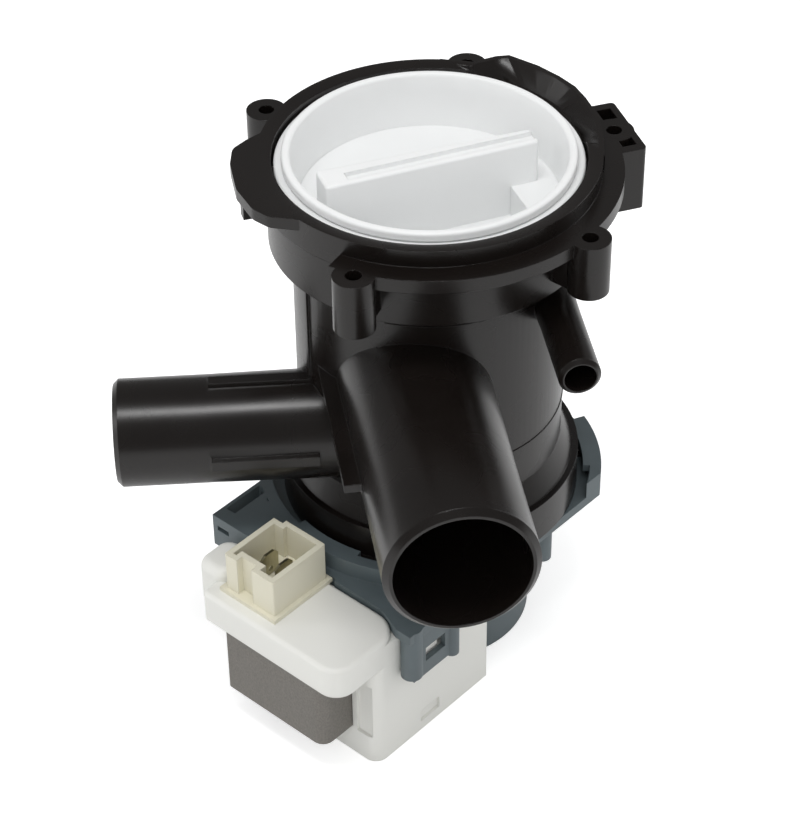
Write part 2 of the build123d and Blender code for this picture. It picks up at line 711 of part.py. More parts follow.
def housing_flange():
    """Upper end of the housing: skirt, ring with its ears and bay, screw bosses and bayonet ledges."""
    ring_low = RING_TOP_Z - EAR_THICKNESS
    body = rod(SKIRT_R, SKIRT_BOTTOM_Z, FLANGE_PLANE_Z)
    body += rod(RING_R, FLANGE_PLANE_Z - FLANGE_THICKNESS, RING_TOP_Z)
    flange_low = FLANGE_PLANE_Z - FLANGE_THICKNESS
    body += sector(FLANGE_R, SKIRT_INNER_R, FLANGE_START, FLANGE_END, flange_low, FLANGE_PLANE_Z)
    body += slab(ring_outline_points(), flange_low, RING_TOP_Z)
    ear = slab(ear_points(), ring_low, RING_TOP_Z)
    body += fillet(ear.edges().filter_by(Axis.Z), RING_R * EAR_CORNER_SHARE)
    for turn in BOSS_TURNS:
        body += boss(turn)
    body += bracket_block()
    ear_block_x = (RING_R - OVERRUN, RING_R + EAR_BLOCK_LENGTH)
    ear_half = EAR_BLOCK_WIDTH / 2
    ear_block = block(ear_block_x, (-ear_half, ear_half), (ring_low - EAR_BLOCK_DROP, ring_low + ear_half))
    body += Rot(0, 0, EAR_BLOCK_TURN) * ear_block
    return hollow_flange(body)


def hollow_flange(body):
    """Cuts the openings and screw holes of the upper end, then adds the bayonet ledges."""
    body -= rod(CHAMBER_INNER_R, SKIRT_BOTTOM_Z - OVERRUN, SKIRT_BOTTOM_Z + SKIRT_FLOOR + OVERRUN)
    body -= rod(SKIRT_INNER_R, SKIRT_BOTTOM_Z + SKIRT_FLOOR, FLANGE_PLANE_Z + OVERRUN)
    body -= rod(RING_INNER_R, FLANGE_PLANE_Z, RING_TOP_Z + OVERRUN)
    body -= cone(RING_INNER_R, RING_R - RING_EDGE, RING_TOP_Z - RING_SLOPE_DROP, RING_TOP_Z)
    bay = offset(Polygon(*ring_outline_points(), align=None), -BAY_WALL)
    body -= Pos(0, 0, RING_TOP_Z) * extrude(bay, RING_HEIGHT, dir=(0, 0, -1), taper=BAY_SLOPE_TURN)
    for turn in BOSS_TURNS:
        x, y = polar(BOSS_CIRCLE_R, turn)
        body -= rod(BOSS_HOLE_R, SKIRT_BOTTOM_Z, FLANGE_PLANE_Z + OVERRUN, x, y)
    for index in range(LUG_COUNT):
        body += ledge(LUG_TURN + 360 / LUG_COUNT * index)
    return body


# Filter cap, its seal and the strainer

def filter_cap():
    """White cup with the grip bar, neck, stem and bayonet lugs."""
    cup = rod(CAP_R - CAP_RIM_WALL / 2, CAP_FLOOR_LOW_Z, CAP_RIM_Z)
    cup += rod(CAP_R, CAP_RIM_Z - CAP_RIM_WALL, CAP_RIM_Z)
    inner_r = CAP_R - CAP_RIM_WALL
    cup -= cone(inner_r - CAP_TAPER, inner_r, CAP_FLOOR_Z, CAP_RIM_Z)
    shoulder_top = CAP_RIM_Z - CAP_SHOULDER_DROP
    shoulder_r = CAP_R + CAP_SHOULDER_OUT
    shoulder = tube(shoulder_r, CAP_R - CAP_RIM_WALL / 2, shoulder_top - CAP_SHOULDER_HEIGHT, shoulder_top)
    outer_edges = shoulder.edges().filter_by(GeomType.CIRCLE).sort_by(SortBy.RADIUS)[-2:]
    shoulder = fillet(outer_edges.sort_by(Axis.Z)[-1], CAP_SHOULDER_ROUND)
    rim_edges = cup.edges().filter_by(GeomType.CIRCLE).group_by(Axis.Z)[-1]
    cup = fillet(rim_edges, CAP_RIM_ROUND) + shoulder
    half_length = GRIP_LENGTH / 2
    half_width = GRIP_WIDTH / 2
    grip_top = CAP_RIM_Z - GRIP_TOP_DROP
    grip_outline = [
        (-half_length, -half_width), (half_length, -half_width), (half_length, half_width),
        (-half_length, half_width + GRIP_FLARE),
    ]
    grip = slab(grip_outline, CAP_FLOOR_Z - OVERRUN, grip_top)
    grip = fillet(grip.edges().filter_by(Axis.Z), GRIP_CORNER)
    grip = fillet(grip.edges().group_by(Axis.Z)[-1], GRIP_EDGE)
    web_r = CAP_NECK_R - CAP_NECK_WALL
    web_low = CAP_FLOOR_Z - WELL_DEPTH - WELL_WALL
    web = block((-half_length, half_length), (-half_width, half_width), (web_low, CAP_FLOOR_Z))
    grip += web & rod(web_r + SEAT_GAP, web_low, CAP_FLOOR_Z)
    groove_half = GRIP_GROOVE_WIDTH / 2
    groove_x = (-half_length + GRIP_WIDTH, half_length + OVERRUN)
    grip -= block(groove_x, (-groove_half, groove_half), (grip_top - GRIP_GROOVE_DEPTH, CAP_RIM_Z))
    cup += Rot(0, 0, GRIP_TURN) * grip
    cup += tube(CAP_NECK_R, CAP_NECK_R - CAP_NECK_WALL, CAP_NECK_LOW_Z, CAP_FLOOR_LOW_Z + OVERRUN)
    shoulder_low = STRAINER_TOP_Z + SEAT_GAP
    cup += rod(CAP_STEM_SHOULDER_R, shoulder_low, CAP_FLOOR_LOW_Z + OVERRUN)
    for side_turn in (0, 180):
        cup += finger_well(side_turn, WELL_WALL)
    for side_turn in (0, 180):
        cup -= finger_well(side_turn, 0)
    head_top = STRAINER_TOP_Z - STRAINER_TOP - SEAT_GAP
    cup += rod(CAP_STEM_R, head_top - OVERRUN, shoulder_low + OVERRUN)
    cup += rod(CAP_STEM_HEAD_R, head_top - CAP_STEM_HEAD, head_top)
    lug_root = CAP_R - CAP_RIM_WALL
    for index in range(LUG_COUNT):
        start = LUG_TURN + 360 / LUG_COUNT * index - LUG_SPAN / 2
        cup += sector(LUG_REACH_R, lug_root, start, start + LUG_SPAN, LUG_LOW_Z, LUG_LOW_Z + LUG_HEIGHT)
    return cup


def finger_well(side_turn, wall):
    """Finger well beside the grip, grown by a wall, turned to the front or the back of the grip."""
    near = -GRIP_WIDTH / 2
    far = near - WELL_WIDTH - wall
    top = CAP_FLOOR_Z + OVERRUN
    if wall:
        top = CAP_FLOOR_Z
    low = CAP_FLOOR_Z - WELL_DEPTH - wall
    well = block((-CAP_R, WELL_END + wall), (far, near), (low, top))
    corner = well.edges().filter_by(Axis.Z).sort_by(Axis.X)[-2:].sort_by(Axis.Y)[0]
    well = fillet(corner, WELL_CORNER + wall)
    well &= rod(WELL_R + wall, low, top)
    return Rot(0, 0, GRIP_TURN + side_turn) * well


def seal_ring(ring_r, section_r, height):
    """Round seal at a height."""
    return Pos(0, 0, height) * Torus(ring_r, section_r)


def cap_seal():
    """Seal round the neck of the cap."""
    return seal_ring(CAP_NECK_R + CAP_SEAL_SECTION_R, CAP_SEAL_SECTION_R, CAP_SEAL_Z)


def strainer_base():
    """Perforated base of the strainer."""
    low = ROOF_TOP_Z + SEAT_GAP
    base = rod(STRAINER_R, low, low + STRAINER_BASE)
    for count, ring_r in zip(STRAINER_HOLE_COUNTS, STRAINER_HOLE_RADII):
        for index in range(count):
            x, y = polar(ring_r, 360 / count * index)
            base -= rod(STRAINER_HOLE_R, low - OVERRUN, low + STRAINER_BASE + OVERRUN, x, y)
    return base


def lint_strainer():
    """Cage that hangs under the cap, open towards the inlet."""
    low = ROOF_TOP_Z + SEAT_GAP
    cage = strainer_base()
    cage += rod(STRAINER_R, STRAINER_TOP_Z - STRAINER_TOP, STRAINER_TOP_Z)
    cage -= rod(CAP_STEM_R + SEAT_GAP, STRAINER_TOP_Z - STRAINER_TOP - OVERRUN, STRAINER_TOP_Z + OVERRUN)
    inner_r = STRAINER_R - STRAINER_WALL
    half = STRAINER_BAR_WIDTH / 2
    for index in range(STRAINER_BAR_COUNT):
        bar_x = (inner_r - STRAINER_BAR_PROUD, STRAINER_R - SHAFT_GAP)
        bar = block(bar_x, (-half, half), (low + SHAFT_GAP, STRAINER_TOP_Z - SHAFT_GAP))
        cage += Rot(0, 0, STRAINER_FIRST_BAR + STRAINER_BAR_STEP * index) * bar
    hoop_end = STRAINER_FIRST_BAR + STRAINER_BAR_STEP * (STRAINER_BAR_COUNT - 1)
    hoop_top = STRAINER_HOOP_Z + STRAINER_HOOP
    cage += sector(STRAINER_R, inner_r, STRAINER_FIRST_BAR, hoop_end, STRAINER_HOOP_Z, hoop_top)
    key_half = KEY_WIDTH / 2
    key_x = (inner_r + SHAFT_GAP, STRAINER_R + KEY_REACH)
    key = block(key_x, (-key_half, key_half), (KEY_LOW_Z, KEY_HIGH_Z))
    cage += Rot(0, 0, KEY_TURN) * key
    return cage


# Motor bracket and stator cup

def beyond_right_side():
    """Space to the right of the bracket's straight side, in the motor's frame."""
    reach = COLLAR_R + OVERRUN
    return block((BASE_RIGHT_U, reach), (-reach, reach), (BASE_LOW_Z - OVERRUN, COLLAR_TOP_Z + OVERRUN))


def base_plate():
    """Lower plate of the bracket in the motor's frame."""
    outline = [
        (BASE_LEFT_U, BASE_RELIEF_V), (BASE_RELIEF_U, BASE_RELIEF_V), (BASE_RELIEF_U, BASE_FRONT_V),
        (COVER_RIGHT - COVER_BACK_CORNER, BASE_FRONT_V), (COVER_RIGHT, POST_CORNER_V),
        (BASE_RIGHT_U, POST_CORNER_V), (BASE_RIGHT_U, BASE_BACK_V), (0, BASE_BACK_V), (BASE_LEFT_U, 0),
    ]
    plate = slab(outline, BASE_LOW_Z, BASE_TOP_Z)
    return plate + (rod(COLLAR_R, BASE_LOW_Z, BASE_TOP_Z) - beyond_right_side())


def wing():
    """Raised left wing with its slots, open below."""
    outline = [
        (WING_LEFT, WING_FRONT), (WING_RIGHT, WING_FRONT), (WING_RIGHT, -COLLAR_INNER_R),
        (-COLLAR_INNER_R / 2, -COLLAR_INNER_R + WING_ROOF), (WING_LEFT, WING_BACK_V),
    ]
    roof = slab(outline, COLLAR_TOP_Z - WING_ROOF, COLLAR_TOP_Z)
    heights = (WING_LOW_Z, COLLAR_TOP_Z)
    walls = block((WING_LEFT, WING_WALL_END), (WING_FRONT, WING_FRONT + WING_WALL), heights)
    walls += block((WING_LEFT, WING_LEFT + WING_WALL), (WING_FRONT, WING_WALL_END_V), heights)
    body = roof + walls
    body -= block((SLOT_LEFT, SLOT_RIGHT), (SLOT_FRONT, SLOT_BACK), (BASE_TOP_Z, COLLAR_TOP_Z + OVERRUN))
    wall_slot_heights = (WALL_SLOT_LOW_Z, WALL_SLOT_LOW_Z + WALL_SLOT_HEIGHT)
    wall_slot_v = (WING_FRONT - OVERRUN, WING_FRONT + WING_WALL + OVERRUN)
    body -= block((WALL_SLOT_LEFT, WALL_SLOT_RIGHT), wall_slot_v, wall_slot_heights)
    return body


def posts_and_web():
    """Front post, rear post, side post and the web with its window."""
    group = rod(POST_R, POST_LOW_Z, BASE_TOP_Z, POST_U, POST_V)
    group += rod(REAR_POST_R, REAR_POST_LOW_Z, BASE_TOP_Z, POST_U, REAR_POST_V)
    group += rod(SIDE_POST_R, SIDE_POST_LOW_Z, BASE_TOP_Z, SIDE_POST_U, SIDE_POST_V)
    half = WEB_THICKNESS / 2
    web = block((POST_U - half, POST_U + half), (POST_V, REAR_POST_V), (WEB_LOW_Z, BASE_TOP_Z))
    window_u = (POST_U - POST_R, POST_U + POST_R)
    web -= block(window_u, (WINDOW_START_V, WINDOW_END_V), (WINDOW_LOW_Z, WINDOW_HIGH_Z))
    return group + web


def cover_clearance():
    """Space of the motor cover with its fitting gap, in the motor's frame."""
    top = COVER_TOP_Z + FIT_GAP
    left = COVER_LEFT - FIT_GAP
    right = COVER_RIGHT + FIT_GAP
    back = COVER_BACK + FIT_GAP
    front = COVER_FRONT - FIT_GAP
    lid = block((left, right), (front, back), (0, top))
    uprights = lid.edges().filter_by(Axis.Z)
    far = [e for e in uprights if e.center().X > 0 and e.center().Y > TALL_FRONT]
    lid = fillet(far, COVER_BACK_CORNER + FIT_GAP)
    tall_top = BASE_LOW_Z
    tall = block((TALL_LEFT, right), (TALL_FRONT, TALL_BACK + FIT_GAP), (0, tall_top))
    hump_left = HUMP_LEFT - FIT_GAP
    hump = block((hump_left, left + OVERRUN), (HUMP_FRONT, HUMP_BACK + FIT_GAP), (0, HUMP_TOP_Z))
    return lid + tall + hump


def motor_bracket():
    """Grey moulding between the pump and the motor."""
    body = base_plate() + wing() + posts_and_web() + rod(CAN_R, CAN_BOTTOM_Z, BASE_LOW_Z + OVERRUN)
    body = motor(body - cover_clearance())
    ring = sector(
        COLLAR_R, COLLAR_INNER_R, COLLAR_GAP_END, COLLAR_GAP_START + 360, BASE_TOP_Z - OVERRUN, COLLAR_TOP_Z
    )
    body += ring - motor(beyond_right_side())
    tab_low = COLLAR_TOP_Z - TAB_THICKNESS
    for turn in TAB_TURNS:
        start = turn - TAB_SPAN / 2
        body += sector(COLLAR_INNER_R + OVERRUN, TAB_R, start, start + TAB_SPAN, tab_low, COLLAR_TOP_Z)
    body -= rod(COLLAR_INNER_R, BASE_TOP_Z, COLLAR_TOP_Z + OVERRUN) - tabs_keep(tab_low)
    body += rod(SPIGOT_FLOOR_R, BASE_TOP_Z - OVERRUN, SPIGOT_FLOOR_Z)
    body -= rod(CAN_INNER_R, CAN_BOTTOM_Z + CAN_FLOOR, SPIGOT_FLOOR_Z + OVERRUN)
    pocket_top = REAR_BUSH_TOP_Z
    pocket_r = BUSH_POCKET_R + BUSH_POCKET_WALL
    body += tube(pocket_r, BUSH_POCKET_R, CAN_BOTTOM_Z + CAN_FLOOR - SEAT_GAP, pocket_top)
    return body


def tabs_keep(tab_low):
    """Space of the tabs, which the collar's bore leaves standing."""
    keep = Part()
    for turn in TAB_TURNS:
        start = turn - TAB_SPAN / 2
        high = COLLAR_TOP_Z + OVERRUN
        keep += sector(COLLAR_INNER_R + OVERRUN, TAB_R, start, start + TAB_SPAN, tab_low, high)
    return keep


def stator_cup():
    """Cup round the stator poles, slotted for the limbs of the core."""
    top = BASE_LOW_Z - FIT_GAP
    cup = rod(CUP_R, 0, top) - rod(CUP_INNER_R, CUP_FLOOR, top + OVERRUN)
    slot_low = CORE_LOW_Z - FIT_GAP
    slot_u = (CORE_LEFT - FIT_GAP, CORE_RIGHT + FIT_GAP)
    cup -= block(slot_u, (-CUP_R - OVERRUN, 0), (slot_low, top + OVERRUN))
    return motor(cup)


# Stator core, coil and cover

def stator_core():
    """Stack of laminations: yoke, two limbs and the poles round the rotor can."""
    heights = (CORE_LOW_Z, CORE_TOP_Z)
    yoke = block((CORE_LEFT, CORE_RIGHT), (CORE_FRONT, LIMB_START_V), heights)
    front_corners = yoke.edges().filter_by(Axis.Z).sort_by(Axis.Y)[:2].sort_by(Axis.X)
    yoke = fillet(front_corners[1], CORE_CORNER)
    front_corners = yoke.edges().filter_by(Axis.Z).sort_by(Axis.Y)[:2].sort_by(Axis.X)
    yoke = fillet(front_corners[0], CORE_LEFT_CORNER)
    pole_r = CUP_INNER_R - FIT_GAP
    limbs = block((CORE_LEFT, LEFT_LIMB_RIGHT), (LIMB_START_V - OVERRUN, 0), heights)
    limbs += block((RIGHT_LIMB_LEFT, CORE_RIGHT), (LIMB_START_V - OVERRUN, 0), heights)
    poles = rod(pole_r, CORE_LOW_Z, CORE_TOP_Z)
    core = yoke + limbs + poles
    low = CORE_LOW_Z - OVERRUN
    high = CORE_TOP_Z + OVERRUN
    core -= rod(CAN_R + FIT_GAP, low, high)
    slot_right = LEFT_LIMB_RIGHT + POLE_GAP
    core -= block((LEFT_LIMB_RIGHT, slot_right), (-pole_r - OVERRUN, 0), (low, high))
    half_gap = POLE_GAP / 2
    core -= block((-half_gap, half_gap), (0, pole_r + OVERRUN), (low, high))
    return motor(core)


def coil_section(grow, start_v, end_v):
    """Sleeve round the right limb, grown from the limb by a wall."""
    u_ends = (RIGHT_LIMB_LEFT - grow, CORE_RIGHT + grow)
    z_ends = (CORE_LOW_Z - grow, CORE_TOP_Z + grow)
    return block(u_ends, (start_v, end_v), z_ends)


def coil_bobbin():
    """Former on the right limb, with a flange at each end."""
    inner = coil_section(FIT_GAP, BOBBIN_START_V - OVERRUN, BOBBIN_END_V + OVERRUN)
    body = coil_section(FIT_GAP + BOBBIN_WALL, BOBBIN_START_V, BOBBIN_END_V)
    flange_grow = FIT_GAP + BOBBIN_WALL + WINDING_BUILD
    body += coil_section(flange_grow, BOBBIN_START_V, BOBBIN_START_V + BOBBIN_FLANGE)
    body += coil_section(flange_grow, BOBBIN_END_V - BOBBIN_FLANGE, BOBBIN_END_V)
    return motor(body - inner)


def coil_winding():
    """Closed body of the winding between the flanges of the former."""
    start = BOBBIN_START_V + BOBBIN_FLANGE
    end = BOBBIN_END_V - BOBBIN_FLANGE
    grow = FIT_GAP + BOBBIN_WALL
    body = coil_section(grow + WINDING_BUILD - FIT_GAP, start, end)
    body = fillet(body.edges().filter_by(Axis.Y), BOBBIN_WALL)
    return motor(body - coil_section(grow, start - OVERRUN, end + OVERRUN))


def cover_lid():
    """Lid of the cover over the core, with its rounded corners."""
    lid = block((COVER_LEFT, COVER_RIGHT), (COVER_FRONT, COVER_BACK), (COVER_SKIRT_Z, COVER_TOP_Z))
    uprights = lid.edges().filter_by(Axis.Z)
    back_right = [e for e in uprights if e.center().X > 0 and e.center().Y > TALL_FRONT]
    lid = fillet(back_right, COVER_BACK_CORNER)
    uprights = lid.edges().filter_by(Axis.Z)
    front_right = [e for e in uprights if e.center().X > 0 and e.center().Y < TALL_FRONT]
    lid = fillet(front_right, COVER_FRONT_CORNER)
    uprights = lid.edges().filter_by(Axis.Z)
    left = [e for e in uprights if e.center().X < 0]
    lid = fillet(left, COVER_LEFT_CORNER)
    top_edges = lid.edges().group_by(Axis.Z)[-1]
    return fillet(top_edges, COVER_EDGE)


def cover_hump():
    """Rounded hump of the cover beside the socket."""
    body = block((HUMP_LEFT, HUMP_RIGHT), (HUMP_FRONT, HUMP_BACK), (COVER_SKIRT_Z, HUMP_TOP_Z))
    body = fillet(body.edges().filter_by(Axis.Z), HUMP_CORNER)
    top_edges = body.edges().group_by(Axis.Z)[-1]
    return fillet(top_edges, HUMP_EDGE)


def motor_cover():
    """White cover over the coil and the core."""
    tall_top = BASE_LOW_Z - FIT_GAP
    tall = block((TALL_LEFT, COVER_RIGHT), (TALL_FRONT, TALL_BACK), (0, tall_top))
    uprights = tall.edges().filter_by(Axis.Z)
    middle_v = (TALL_FRONT + TALL_BACK) / 2
    front_right = [e for e in uprights if e.center().X > TALL_LEFT and e.center().Y < middle_v]
    tall = fillet(front_right, TALL_CORNER)
    body = tall + cover_lid() + cover_hump()
    inner_left = TALL_LEFT + COVER_WALL
    inner_right = COVER_RIGHT - COVER_WALL
    inner_front = TALL_FRONT + TALL_FRONT_WALL
    cavity_v = (inner_front, TALL_BACK - COVER_WALL)
    cavity = block((inner_left, inner_right), cavity_v, (COVER_WALL, tall_top - COVER_WALL))
    cavity -= rod(CUP_R + FIT_GAP + COVER_WALL, 0, tall_top)
    body -= cavity
    lid_u = (COVER_LEFT + COVER_WALL, inner_right)
    lid_v = (COVER_FRONT + COVER_WALL, COVER_BACK - COVER_WALL)
    lid_cavity = block(lid_u, lid_v, (COVER_SKIRT_Z - OVERRUN, COVER_TOP_Z - COVER_WALL))
    lid_cavity = fillet(lid_cavity.edges().filter_by(Axis.Z), COVER_FRONT_CORNER - COVER_WALL)
    lid_cavity -= tall_keep()
    body -= lid_cavity
    body -= rod(CUP_R + FIT_GAP, -OVERRUN, tall_top + OVERRUN)
    body -= motor_cover_cuts()
    hump_u = (HUMP_LEFT + COVER_WALL, HUMP_RIGHT - COVER_WALL)
    hump_v = (HUMP_FRONT + COVER_WALL, HUMP_BACK - COVER_WALL)
    body -= block(hump_u, hump_v, (COVER_SKIRT_Z - OVERRUN, HUMP_TOP_Z - COVER_WALL - COVER_EDGE))
    catch_u = (COVER_RIGHT - COVER_WALL, COVER_RIGHT + CATCH_REACH)
    body += block(catch_u, (CATCH_START_V, CATCH_END_V), (CATCH_LOW_Z, CATCH_HIGH_Z))
    return motor(body)


def tall_keep():
    """Front wall of the tall part, which the lid's hollow leaves standing below the core's top."""
    u_ends = (TALL_LEFT, COVER_RIGHT)
    return block(u_ends, (TALL_FRONT, TALL_FRONT + TALL_FRONT_WALL), (0, COVER_SKIRT_Z))


def motor_cover_cuts():
    """Opening for the limb, the two recesses and the hole for the socket's foot."""
    through = (TALL_FRONT - OVERRUN, TALL_FRONT + TALL_FRONT_WALL + OVERRUN)
    limb_u = (RIGHT_LIMB_LEFT - FIT_GAP, CORE_RIGHT + FIT_GAP)
    limb_z = (CORE_LOW_Z - FIT_GAP, COVER_SKIRT_Z + OVERRUN)
    cuts = block(limb_u, through, limb_z)
    cuts += block(limb_u, (BOBBIN_END_V - OVERRUN, 0), limb_z)
    yoke_u = (TALL_LEFT - OVERRUN, CORE_RIGHT + FIT_GAP)
    yoke_v = (TALL_FRONT - OVERRUN, LIMB_START_V + FIT_GAP)
    cuts += block(yoke_u, yoke_v, limb_z)
    recess_v = (TALL_FRONT - OVERRUN, TALL_FRONT + RECESS_DEPTH)
    cuts += block((RECESS_LEFT, RECESS_RIGHT), recess_v, (RECESS_LOW_Z, RECESS_HIGH_Z))
    face_u = (COVER_RIGHT - FACE_RECESS_DEPTH, COVER_RIGHT + OVERRUN)
    face_v = (FACE_RECESS_START_V, FACE_RECESS_END_V)
    cuts += block(face_u, face_v, (FACE_RECESS_LOW_Z, FACE_RECESS_HIGH_Z))
    foot_u = (SOCKET_LEFT + SOCKET_WALL, SOCKET_RIGHT - SOCKET_WALL)
    foot_v = (SOCKET_FRONT + SOCKET_WALL, SOCKET_BACK - SOCKET_WALL)
    cuts += block(foot_u, foot_v, (COVER_TOP_Z - COVER_WALL - OVERRUN, COVER_TOP_Z + OVERRUN))
    return cuts


# Socket, blades, leads and cut-out

def terminal_housing():
    """Cream socket with its flange, key notch and step."""
    base = SOCKET_BASE_Z
    flange_u = (SOCKET_LEFT - SOCKET_FLANGE_OUT, SOCKET_RIGHT + SOCKET_FLANGE_OUT)
    flange_v = (SOCKET_FRONT - SOCKET_FLANGE_OUT, SOCKET_BACK + SOCKET_FLANGE_OUT - SOCKET_EDGE)
    body = block(flange_u, flange_v, (base, base + SOCKET_FLANGE))
    walls_u = (SOCKET_LEFT, SOCKET_RIGHT)
    walls_v = (SOCKET_FRONT, SOCKET_BACK)
    outer = block(walls_u, walls_v, (base, SOCKET_TOP_Z))
    outer = fillet(outer.edges().filter_by(Axis.Z), SOCKET_EDGE)
    body += outer
    inner_u = (SOCKET_LEFT + SOCKET_WALL, SOCKET_RIGHT - SOCKET_WALL)
    inner_v = (SOCKET_FRONT + SOCKET_WALL, SOCKET_BACK - SOCKET_WALL)
    body -= block(inner_u, inner_v, (base + SOCKET_FLANGE + SOCKET_FLOOR, SOCKET_TOP_Z + OVERRUN))
    notch_right = KEY_NOTCH_LEFT + KEY_NOTCH_WIDTH
    notch_heights = (base + SOCKET_FLANGE, SOCKET_TOP_Z + OVERRUN)
    notch_v = (SOCKET_FRONT - OVERRUN, SOCKET_FRONT + KEY_NOTCH_DEPTH)
    notch = block((KEY_NOTCH_LEFT, notch_right), notch_v, notch_heights)
    lining_v = (SOCKET_FRONT, SOCKET_FRONT + KEY_NOTCH_DEPTH + SOCKET_WALL)
    lining_u = (KEY_NOTCH_LEFT - SOCKET_WALL, notch_right + SOCKET_WALL)
    body += block(lining_u, lining_v, (base, SOCKET_TOP_Z))
    body -= notch
    step_u = (SOCKET_LEFT - OVERRUN, SOCKET_LEFT + STEP_NOTCH_WIDTH)
    step_v = (SOCKET_BACK - STEP_NOTCH_DEPTH, SOCKET_BACK + OVERRUN)
    step_lining_u = (SOCKET_LEFT, SOCKET_LEFT + STEP_NOTCH_WIDTH + SOCKET_WALL)
    step_lining_v = (SOCKET_BACK - STEP_NOTCH_DEPTH - SOCKET_WALL, SOCKET_BACK)
    body += block(step_lining_u, step_lining_v, (base, SOCKET_TOP_Z))
    for blade_u in BLADE_US:
        body -= blade_slot(blade_u)
    return motor(body - block(step_u, step_v, notch_heights))


def blade_slot(blade_u):
    """Slot for one blade through the socket's floor."""
    half_t = BLADE_THICKNESS / 2 + SHAFT_GAP
    half_w = BLADE_WIDTH / 2 + SHAFT_GAP
    u_ends = (blade_u - half_t, blade_u + half_t)
    v_ends = (BLADE_V - half_w, BLADE_V + half_w)
    floor_top = SOCKET_BASE_Z + SOCKET_FLANGE + SOCKET_FLOOR
    return block(u_ends, v_ends, (SOCKET_BASE_Z - OVERRUN, floor_top + OVERRUN))


def blade(blade_u):
    """Flat blade with a tapered tip and a hole."""
    half_w = BLADE_WIDTH / 2
    top = SOCKET_TOP_Z - BLADE_TOP_DROP
    outline = [
        (-half_w, BLADE_BOTTOM_Z), (half_w, BLADE_BOTTOM_Z), (half_w, top - BLADE_TAPER),
        (half_w - BLADE_TAPER, top), (BLADE_TAPER - half_w, top), (-half_w, top - BLADE_TAPER),
    ]
    face = Polygon(*outline, align=None)
    plane = Plane(origin=(blade_u - BLADE_THICKNESS / 2, BLADE_V, 0), x_dir=(0, 1, 0), z_dir=(1, 0, 0))
    body = extrude(plane * face, BLADE_THICKNESS)
    hole_plane = Plane(origin=(blade_u, BLADE_V, top - BLADE_HOLE_DROP), z_dir=(1, 0, 0))
    return body - hole_plane * Cylinder(BLADE_HOLE_R, BLADE_THICKNESS + OVERRUN)


def spade_terminals():
    """The two blades of the socket."""
    return motor(Part() + [blade(blade_u) for blade_u in BLADE_US])


def level_wire(start, end):
    """Straight wire between two level points, with round ends."""
    way = Vector(*end) - Vector(*start)
    plane = Plane(origin=start, z_dir=way)
    shank = Cylinder(WIRE_R, way.length, align=(Align.CENTER, Align.CENTER, Align.MIN))
    return plane * shank + Pos(*start) * Sphere(WIRE_R) + Pos(*end) * Sphere(WIRE_R)


def coil_leads():
    """Lead wires from the winding to the feet of the blades."""
    height = CORE_TOP_Z + BOBBIN_WALL + WINDING_BUILD + FIT_GAP + FIT_GAP + WIRE_R
    beside = BLADE_WIDTH / 2 + WIRE_R + SHAFT_GAP
    front_v = BLADE_V - beside
    back_v = BLADE_V + beside
    corner_u = RIGHT_LIMB_LEFT + WIRE_R
    winding_v = BOBBIN_START_V + BOBBIN_FLANGE + LEAD_OVERLAP
    first = level_wire((BLADE_US[0], front_v, height), (corner_u, front_v, height))
    first += level_wire((corner_u, front_v, height), (corner_u, winding_v, height))
    second_end = RIGHT_LIMB_LEFT - BOBBIN_WALL
    second = level_wire((BLADE_US[1], back_v, height), (second_end, back_v, height))
    return motor(Part() + [first, second])


def thermal_cutout():
    """Protector that lies in the hump of the cover."""
    u = HUMP_LEFT + COVER_WALL + FIT_GAP
    v = (HUMP_FRONT + HUMP_BACK) / 2
    top = HUMP_TOP_Z - COVER_WALL - COVER_EDGE - FIT_GAP
    half = CUTOUT_LENGTH / 2
    return motor(block((u, u + CUTOUT_WIDTH), (v - half, v + half), (top - CUTOUT_HEIGHT, top)))


# Rotor, bearings and impeller

def rear_bearing():
    """Rear bush."""
    return tube(BUSH_R, SHAFT_R + SHAFT_GAP, BUSH_LOW_Z, REAR_BUSH_TOP_Z)


def rear_bearing_grommet():
    """Rubber cup round the rear bush."""
    low = CAN_BOTTOM_Z + CAN_FLOOR
    cup = rod(BUSH_POCKET_R, low, REAR_BUSH_TOP_Z)
    return cup - rod(BUSH_R, BUSH_LOW_Z, REAR_BUSH_TOP_Z + OVERRUN)


def rear_thrust_washer():
    """Washer on the rear bush."""
    low = REAR_BUSH_TOP_Z
    return tube(THRUST_R, SHAFT_R + SEAT_GAP, low, low + THRUST_THICKNESS)


def front_bearing():
    """Front bush."""
    return tube(BUSH_R, SHAFT_R + SHAFT_GAP, FRONT_BUSH_LOW_Z, FRONT_BUSH_LOW_Z + FRONT_BUSH_LENGTH)


def front_thrust_washer():
    """Washer under the front bush."""
    return tube(THRUST_R, SHAFT_R + SEAT_GAP, FRONT_BUSH_LOW_Z - THRUST_THICKNESS, FRONT_BUSH_LOW_Z)


def front_bearing_holder():
    """Plug in the mouth of the can that carries the front bush."""
    plug = rod(CAN_INNER_R, HOLDER_LOW_Z, SPIGOT_FLOOR_Z)
    plug += rod(THRUST_R, FRONT_BUSH_LOW_Z, HOLDER_LOW_Z + OVERRUN)
    bush_top = FRONT_BUSH_LOW_Z + FRONT_BUSH_LENGTH
    plug -= rod(BUSH_R, FRONT_BUSH_LOW_Z - OVERRUN, bush_top)
    return plug - rod(SHAFT_R + SEAT_GAP, bush_top - OVERRUN, SPIGOT_FLOOR_Z + OVERRUN)


def rotor_shaft():
    """Steel shaft from the rear bush to the impeller."""
    return rod(SHAFT_R, SHAFT_LOW_Z, SHAFT_TOP_Z)


def rotor_core():
    """Moulded core between shaft and magnet."""
    return tube(ROTOR_CORE_R, SHAFT_R, ROTOR_LOW_Z, ROTOR_TOP_Z)


